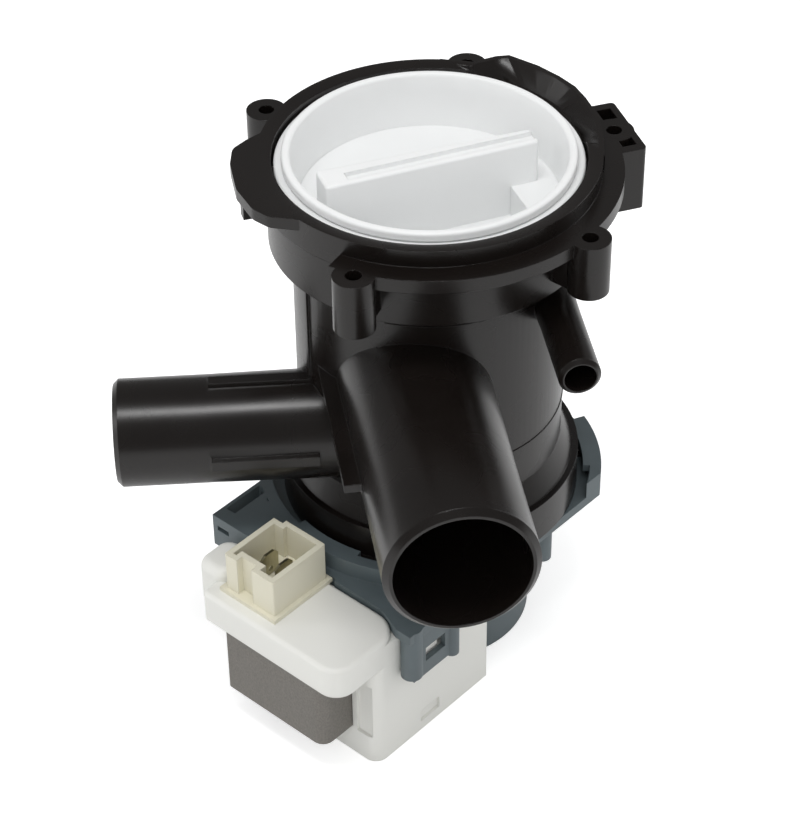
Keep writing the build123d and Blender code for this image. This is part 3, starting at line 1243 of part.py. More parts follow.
def rotor_magnet():
    """Ferrite ring on the rotor core."""
    return tube(MAGNET_R, ROTOR_CORE_R, ROTOR_LOW_Z + MAGNET_INSET, ROTOR_TOP_Z - MAGNET_INSET)


def drive_dog():
    """Driver on the shaft, with one arm inside the impeller's hub."""
    top = HUB_TOP_Z - SEAT_GAP
    body = rod(DOG_HUB_R, DOG_LOW_Z, top)
    body += sector(HUB_R - HUB_WALL - SEAT_GAP, SHAFT_R, 0, DOG_SPAN, DOG_LOW_Z, top)
    return body - rod(SHAFT_R, DOG_LOW_Z - OVERRUN, top + OVERRUN)


def impeller():
    """Six vanes on a disc, with the cup hub that the driver turns in."""
    hub_inner = HUB_R - HUB_WALL
    body = tube(HUB_R, hub_inner, HUB_CUP_LOW_Z, HUB_TOP_Z + OVERRUN)
    body += rod(IMPELLER_R, HUB_TOP_Z, DISC_TOP_Z)
    body += rod(HUB_SLEEVE_R, DISC_TOP_Z - OVERRUN, HUB_SLEEVE_TOP_Z)
    half = VANE_THICKNESS / 2
    for index in range(VANE_COUNT):
        vane_x = (SHAFT_R + VANE_THICKNESS, IMPELLER_R - SHAFT_GAP)
        vane = block(vane_x, (-half, half), (HUB_TOP_Z + half, VANE_TOP_Z))
        body += Rot(0, 0, 360 / VANE_COUNT * index) * vane
    body -= rod(HUB_SLEEVE_R, HUB_SLEEVE_TOP_Z, VANE_TOP_Z + OVERRUN)
    start = DOG_SPAN + DOG_GAP_SPAN
    stop_inner = DOG_HUB_R + SEAT_GAP
    body += sector(hub_inner + SEAT_GAP, stop_inner, start, start + STOP_SPAN, DOG_LOW_Z, HUB_TOP_Z + half)
    return body - rod(SHAFT_R + SHAFT_GAP, HUB_TOP_Z - OVERRUN, VANE_TOP_Z + OVERRUN)


def impeller_clip():
    """Spring washer on the shaft above the impeller."""
    low = HUB_SLEEVE_TOP_Z + SEAT_GAP
    return tube(CLIP_R, SHAFT_R, low, low + CLIP_THICKNESS)


def housing_seal():
    """Seal round the spigot floor of the bracket."""
    section_r = (FLOOR_BORE_R - SPIGOT_FLOOR_R - SEAT_GAP) / 2
    return seal_ring(SPIGOT_FLOOR_R + section_r, section_r, SEAL_Z)


PIECES = (
    pump_housing, volute_casing, volute_roof, bypass_spigot, housing_flange, filter_cap, cap_seal,
    lint_strainer, motor_bracket, housing_seal, stator_cup, stator_core, coil_bobbin, coil_winding,
    coil_leads, motor_cover, terminal_housing, spade_terminals, thermal_cutout, rear_bearing,
    rear_bearing_grommet, rear_thrust_washer, front_bearing, front_thrust_washer, front_bearing_holder,
    rotor_shaft, rotor_core, rotor_magnet, drive_dog, impeller, impeller_clip,
)


def main():
    os.makedirs("parts", exist_ok=True)
    for piece in PIECES:
        export_step(piece(), f"parts/{piece.__name__}.step")


main()
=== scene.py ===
import json
import math

import bmesh
import bpy
from bpy.props import FloatProperty, FloatVectorProperty, IntProperty, PointerProperty
from mathutils import Matrix, Vector


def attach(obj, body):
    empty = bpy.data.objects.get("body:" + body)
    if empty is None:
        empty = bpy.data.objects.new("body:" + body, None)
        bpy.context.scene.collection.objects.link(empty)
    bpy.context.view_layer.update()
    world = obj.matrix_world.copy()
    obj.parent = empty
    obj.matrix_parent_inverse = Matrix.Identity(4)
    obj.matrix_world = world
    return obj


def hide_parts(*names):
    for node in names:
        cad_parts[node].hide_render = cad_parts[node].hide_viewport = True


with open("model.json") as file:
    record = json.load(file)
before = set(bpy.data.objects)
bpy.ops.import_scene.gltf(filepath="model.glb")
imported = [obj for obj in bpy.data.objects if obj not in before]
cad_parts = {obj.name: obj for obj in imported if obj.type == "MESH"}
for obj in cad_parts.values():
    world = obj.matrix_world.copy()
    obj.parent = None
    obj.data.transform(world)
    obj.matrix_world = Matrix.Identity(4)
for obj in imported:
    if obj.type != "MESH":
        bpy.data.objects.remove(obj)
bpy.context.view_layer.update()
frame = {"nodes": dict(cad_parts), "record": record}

bl_info = {
    "name": "Washer drain pump",
    "version": (1, 0, 0),
    "blender": (4, 5, 0),
    "location": "View3D > Sidebar > Pump",
    "description": "Finishes, housing, lamination sheets, mould lines and studio of a washer drain pump",
    "category": "Object",
}

# Metres in a millimetre
MM = 0.001
# Corners that lie closer than this are one corner
MERGE = 0.002 * MM
# Edges that turn by less than this look smooth
SMOOTH_TURN = math.radians(24.0)
# Turn of the motor's frame about the pump's axis
MOTOR_TURN = math.radians(-50.8)
WHITE = (1.0, 1.0, 1.0, 1.0)

# Curve of standard colour values
CURVE_KNEE = 0.04045
CURVE_SLOPE = 12.92
CURVE_SHIFT = 0.055
CURVE_POWER = 2.4
FULL_VALUE = 255

# Sockets of a mix node that belong to colours
MIX_FACTOR = 0
MIX_FIRST = 6
MIX_SECOND = 7
MIX_RESULT = 2

# Fineness of the procedural patterns
SOFT_DETAIL = 2.0
METAL_DETAIL = 4.0
ROUNDING_SAMPLES = 4
# A wave texture repeats this many times in pi of its scale
WAVE_REPEATS = 10
# Share of a wire's width by which its turns stand out
WIRE_BULGE_SHARE = 1 / 4

# Body and material slot of each CAD node
BODY_OF = {node: body for body, nodes in frame["record"]["behaviour"]["bodies"].items() for node in nodes}
SLOT_OF = {part["node"]: part["material_slot"] for part in frame["record"]["subparts"]}

# Nodes that are one moulding in the real pump
HOUSING_NODES = ("pump_housing", "housing_flange", "volute_casing", "volute_roof", "bypass_spigot")

# Other nodes that are shown as merged, smooth copies, with the name of each copy
COPIES = {
    "filter_cap": "cap_moulding",
    "motor_bracket": "bracket_moulding",
    "stator_cup": "cup_moulding",
    "motor_cover": "cover_moulding",
    "terminal_housing": "socket_moulding",
    "spade_terminals": "blade_pair",
    "lint_strainer": "strainer_moulding",
    "impeller": "impeller_moulding",
}

# Hose stubs of the housing, in millimetres and degrees; widen is how much broader the rim's chamfer gets
STUBS = (
    {
        "start": (-9.0, 0.0, 102.5), "turn": -90.0, "radius": 20.0,
        "seat": 67.4, "reach": 102.4, "lip": 0.6, "widen": 2.6,
    },
    {
        "start": (-1.298, -14.543, 80.0), "turn": 174.9, "radius": 15.0,
        "seat": 62.4, "reach": 88.0, "lip": 1.4, "widen": 1.0,
    },
    {
        "start": (28.8, 0.0, 124.7), "turn": -90.0, "radius": 5.6,
        "seat": 35.0, "reach": 59.5, "lip": 1.0, "widen": 1.0,
    },
)
# How much thicker a stub's root is than its seat
SEAT_STEP = 0.3 * MM
# How far from its expected place an edge of a stub may lie
NEAR = 0.02 * MM

# Visible end of the lamination stack, in the motor's frame
SHEET_LEFT = -10.6 * MM
SHEET_RIGHT = 26.5 * MM
SHEET_FRONT = -75.0 * MM
SHEET_BACK = -63.8 * MM
SHEET_LEFT_CORNER = 1.0 * MM
SHEET_LEFT_STEPS = 4
SHEET_RIGHT_STEPS = 8
STACK_LOW = 10.0 * MM
STACK_HEIGHT = 25.7 * MM
STACK_MERGE = 1e-6
SHEET_COUNT = 51
SHEET_GAP = 0.06 * MM

# Mould lines on the filter chamber, in millimetres and degrees
LINE_R = 37.2
LINES = (
    {"name": "chamber_line_low", "height": 80.0, "start": -62.0, "sweep": 92.0},
    {"name": "chamber_line_high", "height": 128.5, "start": -118.0, "sweep": 62.0},
)
LINE_BEAD = 0.22 * MM
LINE_STEPS = 96
BEAD_STEPS = 8

# Floor, which reaches this far each way, glows and has soft clouds of this size
FLOOR_REACH = 3.0
FLOOR_GLOW = 0.5
FLOOR_CLOUD = 60.0 * MM
# Share of the floor's glow that the gloss of the object sees
FLOOR_GLOSS_SHARE = 0.15

# Lamps, in metres: place, width and height, and the value that holds the power
LAMP_AIM = (0.0, -0.02, 0.08)
LAMPS = (
    {"name": "key_lamp", "place": (-0.1, -0.2, 1.0), "size": (0.5, 0.15), "power": "key"},
    {"name": "left_lamp", "place": (-0.95, 0.25, 0.35), "size": (0.25, 0.8), "power": "side"},
    {"name": "right_lamp", "place": (0.85, 0.2, 0.4), "size": (0.25, 0.8), "power": "side"},
    {"name": "front_lamp", "place": (-0.3, -0.95, 0.9), "size": (0.9, 0.7), "power": "front"},
)

# Camera, as fitted to the round rims of the object: place in millimetres and two directions
EYE = (-91.71, -547.46, 523.59)
LOOK = (0.11594, 0.76436, -0.63428)
RIGHT = (0.98745, -0.15765, -0.00949)
SENSOR_HEIGHT = 36.0
CLIP_START = 0.01


def linear(text):
    """Linear colour with alpha from a hex text such as 1a1718."""
    parts = []
    for start in (0, 2, 4):
        value = int(text[start:start + 2], 16) / FULL_VALUE
        if value <= CURVE_KNEE:
            parts.append(value / CURVE_SLOPE)
        else:
            parts.append(((value + CURVE_SHIFT) / (1 + CURVE_SHIFT)) ** CURVE_POWER)
    return (parts[0], parts[1], parts[2], 1.0)


def rgb(text):
    """Default of a colour property."""
    return linear(text)[:3]


def shade(values, factor=1.0):
    """Colour of a property with alpha, made darker or lighter by a factor."""
    return (min(values[0] * factor, 1.0), min(values[1] * factor, 1.0), min(values[2] * factor, 1.0), 1.0)


# Sizes and colours that a user would change

class PumpFinishes(bpy.types.PropertyGroup):
    """Colours of the finishes"""
    housing: FloatVectorProperty(
        name="Housing", description="Black moulding", subtype="COLOR", default=rgb("161210"))
    bracket: FloatVectorProperty(
        name="Bracket", description="Grey moulding", subtype="COLOR", default=rgb("5a6569"))
    cover: FloatVectorProperty(
        name="Cover", description="White motor cover", subtype="COLOR", default=rgb("ebebe6"))
    cap: FloatVectorProperty(
        name="Cap", description="White filter cap", subtype="COLOR", default=rgb("eff0f0"))
    socket: FloatVectorProperty(
        name="Socket", description="Cream socket", subtype="COLOR", default=rgb("e3dfcb"))
    sheets: FloatVectorProperty(
        name="Sheets", description="Sheet edges", subtype="COLOR", default=rgb("8a8680"))


class PumpSheets(bpy.types.PropertyGroup):
    """Sizes of the lamination stack"""
    count: IntProperty(
        name="Sheets", description="Laminations in the stack", default=SHEET_COUNT, min=10, max=80,
        subtype="UNSIGNED")
    gap: FloatProperty(
        name="Gap", description="Groove between sheets", default=SHEET_GAP, unit="LENGTH")
    proud: FloatProperty(
        name="Proud", description="How far the sheets stand out", default=0.05 * MM, unit="LENGTH")
    corner: FloatProperty(
        name="Corner", description="Front corner radius", default=3.5 * MM, unit="LENGTH")


class PumpTrim(bpy.types.PropertyGroup):
    """Size of the mould lines"""
    line: FloatProperty(
        name="Line", description="Radius of a mould line", default=LINE_BEAD, unit="LENGTH")


class PumpStage(bpy.types.PropertyGroup):
    """Lens, lamps and surroundings"""
    lens: FloatProperty(
        name="Lens", description="Focal length in millimetres", default=108.956, unit="CAMERA")
    key: FloatProperty(
        name="Key", description="Power of the key lamp in watts", default=2.9, unit="POWER")
    side: FloatProperty(
        name="Side", description="Power of each side lamp in watts", default=1.3, unit="POWER")
    front: FloatProperty(
        name="Front", description="Power of the front lamp in watts", default=2.2, unit="POWER")
    sky: FloatProperty(
        name="Sky", description="Strength of the pale surroundings", default=0.6, subtype="FACTOR")
    mirror: FloatProperty(
        name="Mirror", description="Strength of the surroundings in gloss", default=0.2, subtype="FACTOR")


# Materials

def add(tree, kind, inputs=None, **settings):
    """New node with its settings and its inputs, which are values or sockets to link."""
    node = tree.nodes.new(kind)
    for name, value in settings.items():
        setattr(node, name, value)
    for key, source in (inputs or {}).items():
        if isinstance(source, bpy.types.NodeSocket):
            tree.links.new(source, node.inputs[key])
        else:
            node.inputs[key].default_value = source
    return node


def blank_material(name):
    """Material whose node tree holds only the object's coordinates."""
    material = bpy.data.materials.new(name)
    material.use_nodes = True
    tree = material.node_tree
    tree.nodes.clear()
    place = add(tree, "ShaderNodeTexCoord").outputs["Object"]
    return material, tree, place


def moulded(name, low, high, roughness, blotch_mm, grain_mm, grain_depth_mm, ior=1.49, edge_mm=0.35):
    """Moulded plastic: soft change of colour and gloss, fine grain and rounded edges."""
    # The real grain is some hundredths of a millimetre wide, so it is drawn coarser to show at all
    material, tree, place = blank_material(name)
    blotch_inputs = {"Vector": place, "Scale": 1 / (blotch_mm * MM), "Detail": SOFT_DETAIL}
    blotch = add(tree, "ShaderNodeTexNoise", blotch_inputs).outputs["Fac"]
    tone_inputs = {MIX_FACTOR: blotch, MIX_FIRST: low, MIX_SECOND: high}
    tone = add(tree, "ShaderNodeMix", tone_inputs, data_type="RGBA").outputs[MIX_RESULT]
    gloss_inputs = {"Value": blotch, "To Min": roughness[0], "To Max": roughness[1]}
    gloss = add(tree, "ShaderNodeMapRange", gloss_inputs).outputs[0]
    rounded = add(tree, "ShaderNodeBevel", {"Radius": edge_mm * MM}, samples=ROUNDING_SAMPLES).outputs[0]
    grain_inputs = {"Vector": place, "Scale": 1 / (grain_mm * MM), "Detail": SOFT_DETAIL}
    grain = add(tree, "ShaderNodeTexNoise", grain_inputs).outputs["Fac"]
    bump_inputs = {"Height": grain, "Distance": grain_depth_mm * MM, "Strength": 1.0, "Normal": rounded}
    bump = add(tree, "ShaderNodeBump", bump_inputs).outputs[0]
    inputs = {"Base Color": tone, "Roughness": gloss, "Normal": bump, "IOR": ior}
    shader = add(tree, "ShaderNodeBsdfPrincipled", inputs).outputs[0]
    add(tree, "ShaderNodeOutputMaterial", {"Surface": shader})
    return material


def metal(name, low, high, roughness, grain_mm, stretch, metallic=1.0, grain_depth_mm=0.01):
    """Metal whose grain is stretched along one axis by how it was drawn, rolled or ground."""
    material, tree, place = blank_material(name)
    where = add(tree, "ShaderNodeMapping", {"Vector": place, "Scale": stretch}).outputs[0]
    grain_inputs = {"Vector": where, "Scale": 1 / (grain_mm * MM), "Detail": METAL_DETAIL}
    grain = add(tree, "ShaderNodeTexNoise", grain_inputs).outputs["Fac"]
    tone_inputs = {MIX_FACTOR: grain, MIX_FIRST: low, MIX_SECOND: high}
    tone = add(tree, "ShaderNodeMix", tone_inputs, data_type="RGBA").outputs[MIX_RESULT]
    gloss_inputs = {"Value": grain, "To Min": roughness[0], "To Max": roughness[1]}
    gloss = add(tree, "ShaderNodeMapRange", gloss_inputs).outputs[0]
    bump_inputs = {"Height": grain, "Distance": grain_depth_mm * MM, "Strength": 1.0}
    bump = add(tree, "ShaderNodeBump", bump_inputs).outputs[0]
    inputs = {"Base Color": tone, "Roughness": gloss, "Normal": bump, "Metallic": metallic}
    shader = add(tree, "ShaderNodeBsdfPrincipled", inputs).outputs[0]
    add(tree, "ShaderNodeOutputMaterial", {"Surface": shader})
    return material


def wound(name, low, high, roughness, wire_mm):
    """Enamelled wire, laid in turns that show as bands as wide as the wire."""
    material, tree, place = blank_material(name)
    wave_inputs = {"Vector": place, "Scale": math.pi / (WAVE_REPEATS * wire_mm * MM)}
    wave_node = add(tree, "ShaderNodeTexWave", wave_inputs, wave_type="BANDS", bands_direction="Z")
    wave = wave_node.outputs["Fac"]
    tone_inputs = {MIX_FACTOR: wave, MIX_FIRST: low, MIX_SECOND: high}
    tone = add(tree, "ShaderNodeMix", tone_inputs, data_type="RGBA").outputs[MIX_RESULT]
    bump_inputs = {"Height": wave, "Distance": wire_mm * MM * WIRE_BULGE_SHARE, "Strength": 1.0}
    bump = add(tree, "ShaderNodeBump", bump_inputs).outputs[0]
    inputs = {"Base Color": tone, "Roughness": roughness, "Normal": bump, "Metallic": 1.0}
    shader = add(tree, "ShaderNodeBsdfPrincipled", inputs).outputs[0]
    add(tree, "ShaderNodeOutputMaterial", {"Surface": shader})
    return material


# The finish of each material slot, made once and shared by its pieces
finishes = {}


def make_coloured_finishes(values):
    """Makes the finishes whose colours are values that a user can change."""
    # Glass-filled polypropylene from a polished mould: deep brown black, a broad soft gloss
    finishes["black_plastic"] = moulded(
        "moulded_black_polypropylene", shade(values.housing, factor=0.75), shade(values.housing, factor=1.3),
        roughness=(0.2, 0.34), blotch_mm=22.0, grain_mm=0.7, grain_depth_mm=0.002)
    # Unfilled polypropylene from a polished mould: clean white, soft gloss and soft edges
    finishes["white_cap_plastic"] = moulded(
        "moulded_white_polypropylene", shade(values.cap, factor=0.97), shade(values.cap),
        roughness=(0.3, 0.42), blotch_mm=18.0, grain_mm=0.8, grain_depth_mm=0.002, edge_mm=0.6)
    # Glass-filled polyester, moulded: blue grey with lighter and darker clouds, nearly matt
    finishes["grey_plastic"] = moulded(
        "moulded_grey_polyester", shade(values.bracket, factor=0.86), shade(values.bracket, factor=1.14),
        roughness=(0.4, 0.56), blotch_mm=6.0, grain_mm=0.5, grain_depth_mm=0.006, ior=1.58)
    # Flame proof polyamide, moulded: dull white, matt and soft at the edges
    finishes["cover_plastic"] = moulded(
        "moulded_white_polyamide", shade(values.cover, factor=0.965), shade(values.cover),
        roughness=(0.45, 0.58), blotch_mm=16.0, grain_mm=0.6, grain_depth_mm=0.005, ior=1.53, edge_mm=0.5)
    # Polyester, moulded: cream, low gloss
    finishes["socket_plastic"] = moulded(
        "moulded_cream_polyester", shade(values.socket, factor=0.96), shade(values.socket),
        roughness=(0.4, 0.52), blotch_mm=8.0, grain_mm=0.5, grain_depth_mm=0.004, ior=1.58)
    # Silicon steel, stamped sheet edges: dull grey with a dark oxide; the burr is drawn coarser than it is
    finishes["lamination_steel"] = metal(
        "stamped_silicon_steel_edges", shade(values.sheets, factor=0.5), shade(values.sheets, factor=1.2),
        roughness=(0.4, 0.6), grain_mm=0.5, stretch=(1.0, 1.0, 0.7), metallic=0.4, grain_depth_mm=0.03)


def make_plain_finishes():
    """Makes the finishes of the pieces inside, and of the blades in the socket."""
    # Natural polypropylene, moulded: greyish white and a little milky
    finishes["strainer_plastic"] = moulded(
        "moulded_natural_polypropylene", linear("cfd1cd"), linear("dcdeda"),
        roughness=(0.35, 0.5), blotch_mm=12.0, grain_mm=0.6, grain_depth_mm=0.004)
    # Polyamide, moulded: ivory, low gloss
    finishes["bobbin_plastic"] = moulded(
        "moulded_ivory_polyamide", linear("d5d0b8"), linear("e0dcc6"),
        roughness=(0.45, 0.6), blotch_mm=8.0, grain_mm=0.5, grain_depth_mm=0.004, ior=1.53)
    # Filled polypropylene, moulded: dark grey, low gloss
    finishes["rotor_plastic"] = moulded(
        "moulded_dark_polypropylene", linear("2a2a2a"), linear("353535"),
        roughness=(0.45, 0.6), blotch_mm=8.0, grain_mm=0.5, grain_depth_mm=0.005)
    # Glass-filled polypropylene, moulded: black, half gloss
    finishes["impeller_plastic"] = moulded(
        "moulded_impeller_polypropylene", linear("161616"), linear("222222"),
        roughness=(0.3, 0.45), blotch_mm=9.0, grain_mm=0.5, grain_depth_mm=0.004)
    # Nitrile rubber, pressed: black and matt
    finishes["seal_rubber"] = moulded(
        "pressed_nitrile_rubber", linear("121212"), linear("1c1c1c"),
        roughness=(0.6, 0.75), blotch_mm=5.0, grain_mm=0.4, grain_depth_mm=0.01, ior=1.52)
    # Resin bonded carbon, pressed and bored: brown black, matt
    finishes["bush_material"] = moulded(
        "pressed_carbon_bush", linear("37322c"), linear("433d35"),
        roughness=(0.5, 0.65), blotch_mm=3.0, grain_mm=0.4, grain_depth_mm=0.01, ior=1.6)
    # Phenolic resin, moulded: grey, low gloss
    finishes["cutout_plastic"] = moulded(
        "moulded_grey_phenolic", linear("6f6f6f"), linear("7d7d7d"),
        roughness=(0.45, 0.6), blotch_mm=5.0, grain_mm=0.4, grain_depth_mm=0.004, ior=1.6)
    # Stainless steel, ground: bright, with fine scratches round the shaft, drawn coarser than they are
    finishes["shaft_steel"] = metal(
        "ground_stainless_steel", linear("9a9a9a"), linear("b8b8b8"),
        roughness=(0.2, 0.32), grain_mm=0.5, stretch=(0.2, 0.2, 1.0))
    # Brass strip, tinned and rolled: pale yellow grey, with long soft scratches
    finishes["tinned_brass"] = metal(
        "tinned_rolled_brass", linear("a29c80"), linear("c0bba2"),
        roughness=(0.24, 0.4), grain_mm=0.6, stretch=(1.0, 1.0, 0.25))
    # Copper wire, drawn and enamelled: red brown bands, each as wide as the wire
    finishes["copper_wire"] = wound(
        "drawn_enamelled_copper", linear("7a3417"), linear("b4622f"), roughness=0.3, wire_mm=0.5)
    # Barium ferrite, sintered: charcoal grey with little metallic shine, matt
    finishes["ferrite"] = metal(
        "sintered_barium_ferrite", linear("2c2c2f"), linear("3c3c40"),
        roughness=(0.5, 0.7), grain_mm=0.8, stretch=(1.0, 1.0, 1.0), metallic=0.2)


def finish_of(slot):
    """Finish of a slot."""
    if slot not in finishes:
        raise RuntimeError("The finish of " + slot + " is missing, so run Finishes first")
    return finishes[slot]


# Meshes

def finished(name, mesh, body, slot, nodes=()):
    """Object of a finished mesh that rides on a body, in place of the CAD nodes that are named."""
    piece = bpy.data.objects.new(name, mesh)
    bpy.context.scene.collection.objects.link(piece)
    mesh.materials.clear()
    mesh.materials.append(finish_of(slot))
    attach(piece, body)
    if nodes:
        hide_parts(*nodes)
    return piece


def merged_copy(node, name):
    """Copy of a CAD node's mesh with its loose triangles merged."""
    mesh = bpy.data.meshes.new(name)
    work = bmesh.new()
    work.from_mesh(frame["nodes"][node].data)
    bmesh.ops.remove_doubles(work, verts=work.verts, dist=MERGE)
    work.to_mesh(mesh)
    work.free()
    return mesh


def smooth(mesh):
    """Makes a merged mesh smooth but for its sharp edges."""
    work = bmesh.new()
    work.from_mesh(mesh)
    bmesh.ops.remove_doubles(work, verts=work.verts, dist=MERGE)
    for face in work.faces:
        face.smooth = True
    for edge in work.edges:
        edge.smooth = len(edge.link_faces) == 2 and edge.calc_face_angle(0.0) < SMOOTH_TURN
    work.to_mesh(mesh)
    work.free()


def linked_object(name, mesh):
    """Object in the scene that holds a mesh."""
    item = bpy.data.objects.new(name, mesh)
    bpy.context.scene.collection.objects.link(item)
    return item


def applied(source, name):
    """Plain mesh from an object's evaluated modifiers, after which the object is removed."""
    bpy.context.view_layer.update()
    depsgraph = bpy.context.evaluated_depsgraph_get()
    mesh = bpy.data.meshes.new_from_object(source.evaluated_get(depsgraph))
    mesh.name = name
    source.modifiers.clear()
    old = source.data
    bpy.data.objects.remove(source)
    bpy.data.meshes.remove(old)
    if not mesh.polygons:
        raise RuntimeError(name + " came out empty")
    return mesh


def joined(nodes, name):
    """One mesh without inner walls from nodes that belong to one moulding."""
    whole = linked_object(name, merged_copy(nodes[0], name))
    others = []
    for node in nodes[1:]:
        other = linked_object(node + "_join", merged_copy(node, node + "_join"))
        modifier = whole.modifiers.new(node, "BOOLEAN")
        modifier.operation = "UNION"
        modifier.solver = "EXACT"
        modifier.object = other
        others.append(other)
    mesh = applied(whole, name)
    for other in others:
        old = other.data
        bpy.data.objects.remove(other)
        bpy.data.meshes.remove(old)
    return mesh


def ease_stub(mesh, stub):
    """Draws the step before a hose seat down to the seat, and widens the rim's chamfer."""
    start = Vector(stub["start"]) * MM
    way = Matrix.Rotation(math.radians(stub["turn"]), 3, "Z") @ Vector((1, 0, 0))
    radius = stub["radius"] * MM
    seat = stub["seat"] * MM
    reach = stub["reach"] * MM
    lip = stub["lip"] * MM
    for vertex in mesh.vertices:
        along = (vertex.co - start).dot(way)
        middle = start + way * along
        out = vertex.co - middle
        at_step = abs(along - seat) < NEAR and abs(out.length - radius - SEAT_STEP) < NEAR
        at_rim = along > reach - lip - NEAR and radius - lip - NEAR < out.length < radius + NEAR
        if at_step:
            vertex.co = middle + out.normalized() * radius
        elif at_rim:
            wider = radius - (radius - out.length) * stub["widen"]
            back = reach - (reach - along) * stub["widen"]
            vertex.co = start + way * back + out.normalized() * wider


# Geometry trees

def new_tree(name, sizes):
    """Geometry tree with a geometry input and output and named size inputs."""
    tree = bpy.data.node_groups.new(name, "GeometryNodeTree")
    tree.interface.new_socket("Geometry", in_out="INPUT", socket_type="NodeSocketGeometry")
    for title, kind, default in sizes:
        socket = tree.interface.new_socket(title, in_out="INPUT", socket_type=kind)
        socket.default_value = default
    tree.interface.new_socket("Geometry", in_out="OUTPUT", socket_type="NodeSocketGeometry")
    return tree, add(tree, "NodeGroupInput").outputs


def close_tree(tree, geometry, material):
    """Realizes the instances, sets the material and gives the result to the tree's output."""
    real = add(tree, "GeometryNodeRealizeInstances", {"Geometry": geometry}).outputs[0]
    dressed = add(tree, "GeometryNodeSetMaterial", {"Geometry": real, "Material": material}).outputs[0]
    add(tree, "NodeGroupOutput", {0: dressed})


def grown(tree, name, values, outline=()):
    """Runs a geometry tree on one face with an outline, or on nothing, and returns the plain mesh."""
    mesh = bpy.data.meshes.new(name + "_seed")
    faces = []
    if outline:
        faces = [list(range(len(outline)))]
    mesh.from_pydata(outline, [], faces)
    seed = linked_object(name + "_seed", mesh)
    modifier = seed.modifiers.new(name, "NODES")
    modifier.node_group = tree
    for item in tree.interface.items_tree:
        if item.item_type == "SOCKET" and item.in_out == "INPUT" and item.name in values:
            modifier[item.identifier] = values[item.name]
    return applied(seed, name)


def quarter(middle_x, middle_y, reach, start, steps):
    """Points of a quarter circle that starts at an angle in degrees."""
    points = []
    for step in range(steps + 1):
        turn = math.radians(start + step * 90 / steps)
        points.append((middle_x + reach * math.cos(turn), middle_y + reach * math.sin(turn)))
    return points


def sheet_outline(settings):
    """Outline of the visible end of one lamination, in metres in the pump's frame."""
    proud = settings.proud
    corner = settings.corner
    points = quarter(SHEET_RIGHT - corner, SHEET_FRONT + corner, corner + proud, -90, SHEET_RIGHT_STEPS)
    points.append((SHEET_RIGHT + proud, SHEET_BACK))
    points.append((SHEET_LEFT - proud, SHEET_BACK))
    corner = SHEET_LEFT_CORNER
    points += quarter(SHEET_LEFT + corner, SHEET_FRONT + corner, corner + proud, 180, SHEET_LEFT_STEPS)
    turned = Matrix.Rotation(MOTOR_TURN, 3, "Z")
    return [turned @ Vector((x, y, 0)) for x, y in points]


def stack_tree(material):
    """Tree that thickens one outline into a sheet and repeats it up the stack."""
    sizes = (
        ("Count", "NodeSocketInt", SHEET_COUNT), ("Low", "NodeSocketFloat", STACK_LOW),
        ("Height", "NodeSocketFloat", STACK_HEIGHT), ("Gap", "NodeSocketFloat", SHEET_GAP),
    )
    tree, start = new_tree("Sheet stack", sizes)
    pitch_inputs = {0: start["Height"], 1: start["Count"]}
    pitch = add(tree, "ShaderNodeMath", pitch_inputs, operation="DIVIDE").outputs[0]
    thick = add(tree, "ShaderNodeMath", {0: pitch, 1: start["Gap"]}, operation="SUBTRACT").outputs[0]
    rise = add(tree, "ShaderNodeCombineXYZ", {"Z": thick}).outputs[0]
    sheet_inputs = {"Mesh": start["Geometry"], "Offset": rise, "Individual": False}
    sheet = add(tree, "GeometryNodeExtrudeMesh", sheet_inputs)
    flipped = add(tree, "GeometryNodeFlipFaces", {"Mesh": start["Geometry"]}).outputs[0]
    whole = add(tree, "GeometryNodeJoinGeometry")
    tree.links.new(sheet.outputs[0], whole.inputs[0])
    tree.links.new(flipped, whole.inputs[0])
    merged_inputs = {"Geometry": whole.outputs[0], "Distance": STACK_MERGE}
    merged = add(tree, "GeometryNodeMergeByDistance", merged_inputs).outputs[0]
    base = add(tree, "ShaderNodeCombineXYZ", {"Z": start["Low"]}).outputs[0]
    step = add(tree, "ShaderNodeCombineXYZ", {"Z": pitch}).outputs[0]
    line_inputs = {"Count": start["Count"], "Start Location": base, "Offset": step}
    line = add(tree, "GeometryNodeMeshLine", line_inputs)
    copy_inputs = {"Points": line.outputs[0], "Instance": merged}
    copies = add(tree, "GeometryNodeInstanceOnPoints", copy_inputs).outputs[0]
    close_tree(tree, copies, material)
    return tree


def line_tree(material):
    """Tree that lays a round bead along an arc, for a mould line."""
    sizes = (
        ("Radius", "NodeSocketFloat", LINE_R * MM), ("Height", "NodeSocketFloat", 0.0),
        ("Bead", "NodeSocketFloat", LINE_BEAD), ("Start", "NodeSocketFloat", 0.0),
        ("Sweep", "NodeSocketFloat", 1.0),
    )
    tree, start = new_tree("Mould line", sizes)
    arc_inputs = {
        "Resolution": LINE_STEPS, "Radius": start["Radius"], "Start Angle": start["Start"],
        "Sweep Angle": start["Sweep"],
    }
    arc = add(tree, "GeometryNodeCurveArc", arc_inputs).outputs[0]
    lift = add(tree, "ShaderNodeCombineXYZ", {"Z": start["Height"]}).outputs[0]
    placed = add(tree, "GeometryNodeTransform", {"Geometry": arc, "Translation": lift}).outputs[0]
    section_inputs = {"Resolution": BEAD_STEPS, "Radius": start["Bead"]}
    section = add(tree, "GeometryNodeCurvePrimitiveCircle", section_inputs).outputs[0]
    bead_inputs = {"Curve": placed, "Profile Curve": section, "Fill Caps": True}
    bead = add(tree, "GeometryNodeCurveToMesh", bead_inputs).outputs[0]
    close_tree(tree, bead, material)
    return tree


# Stage

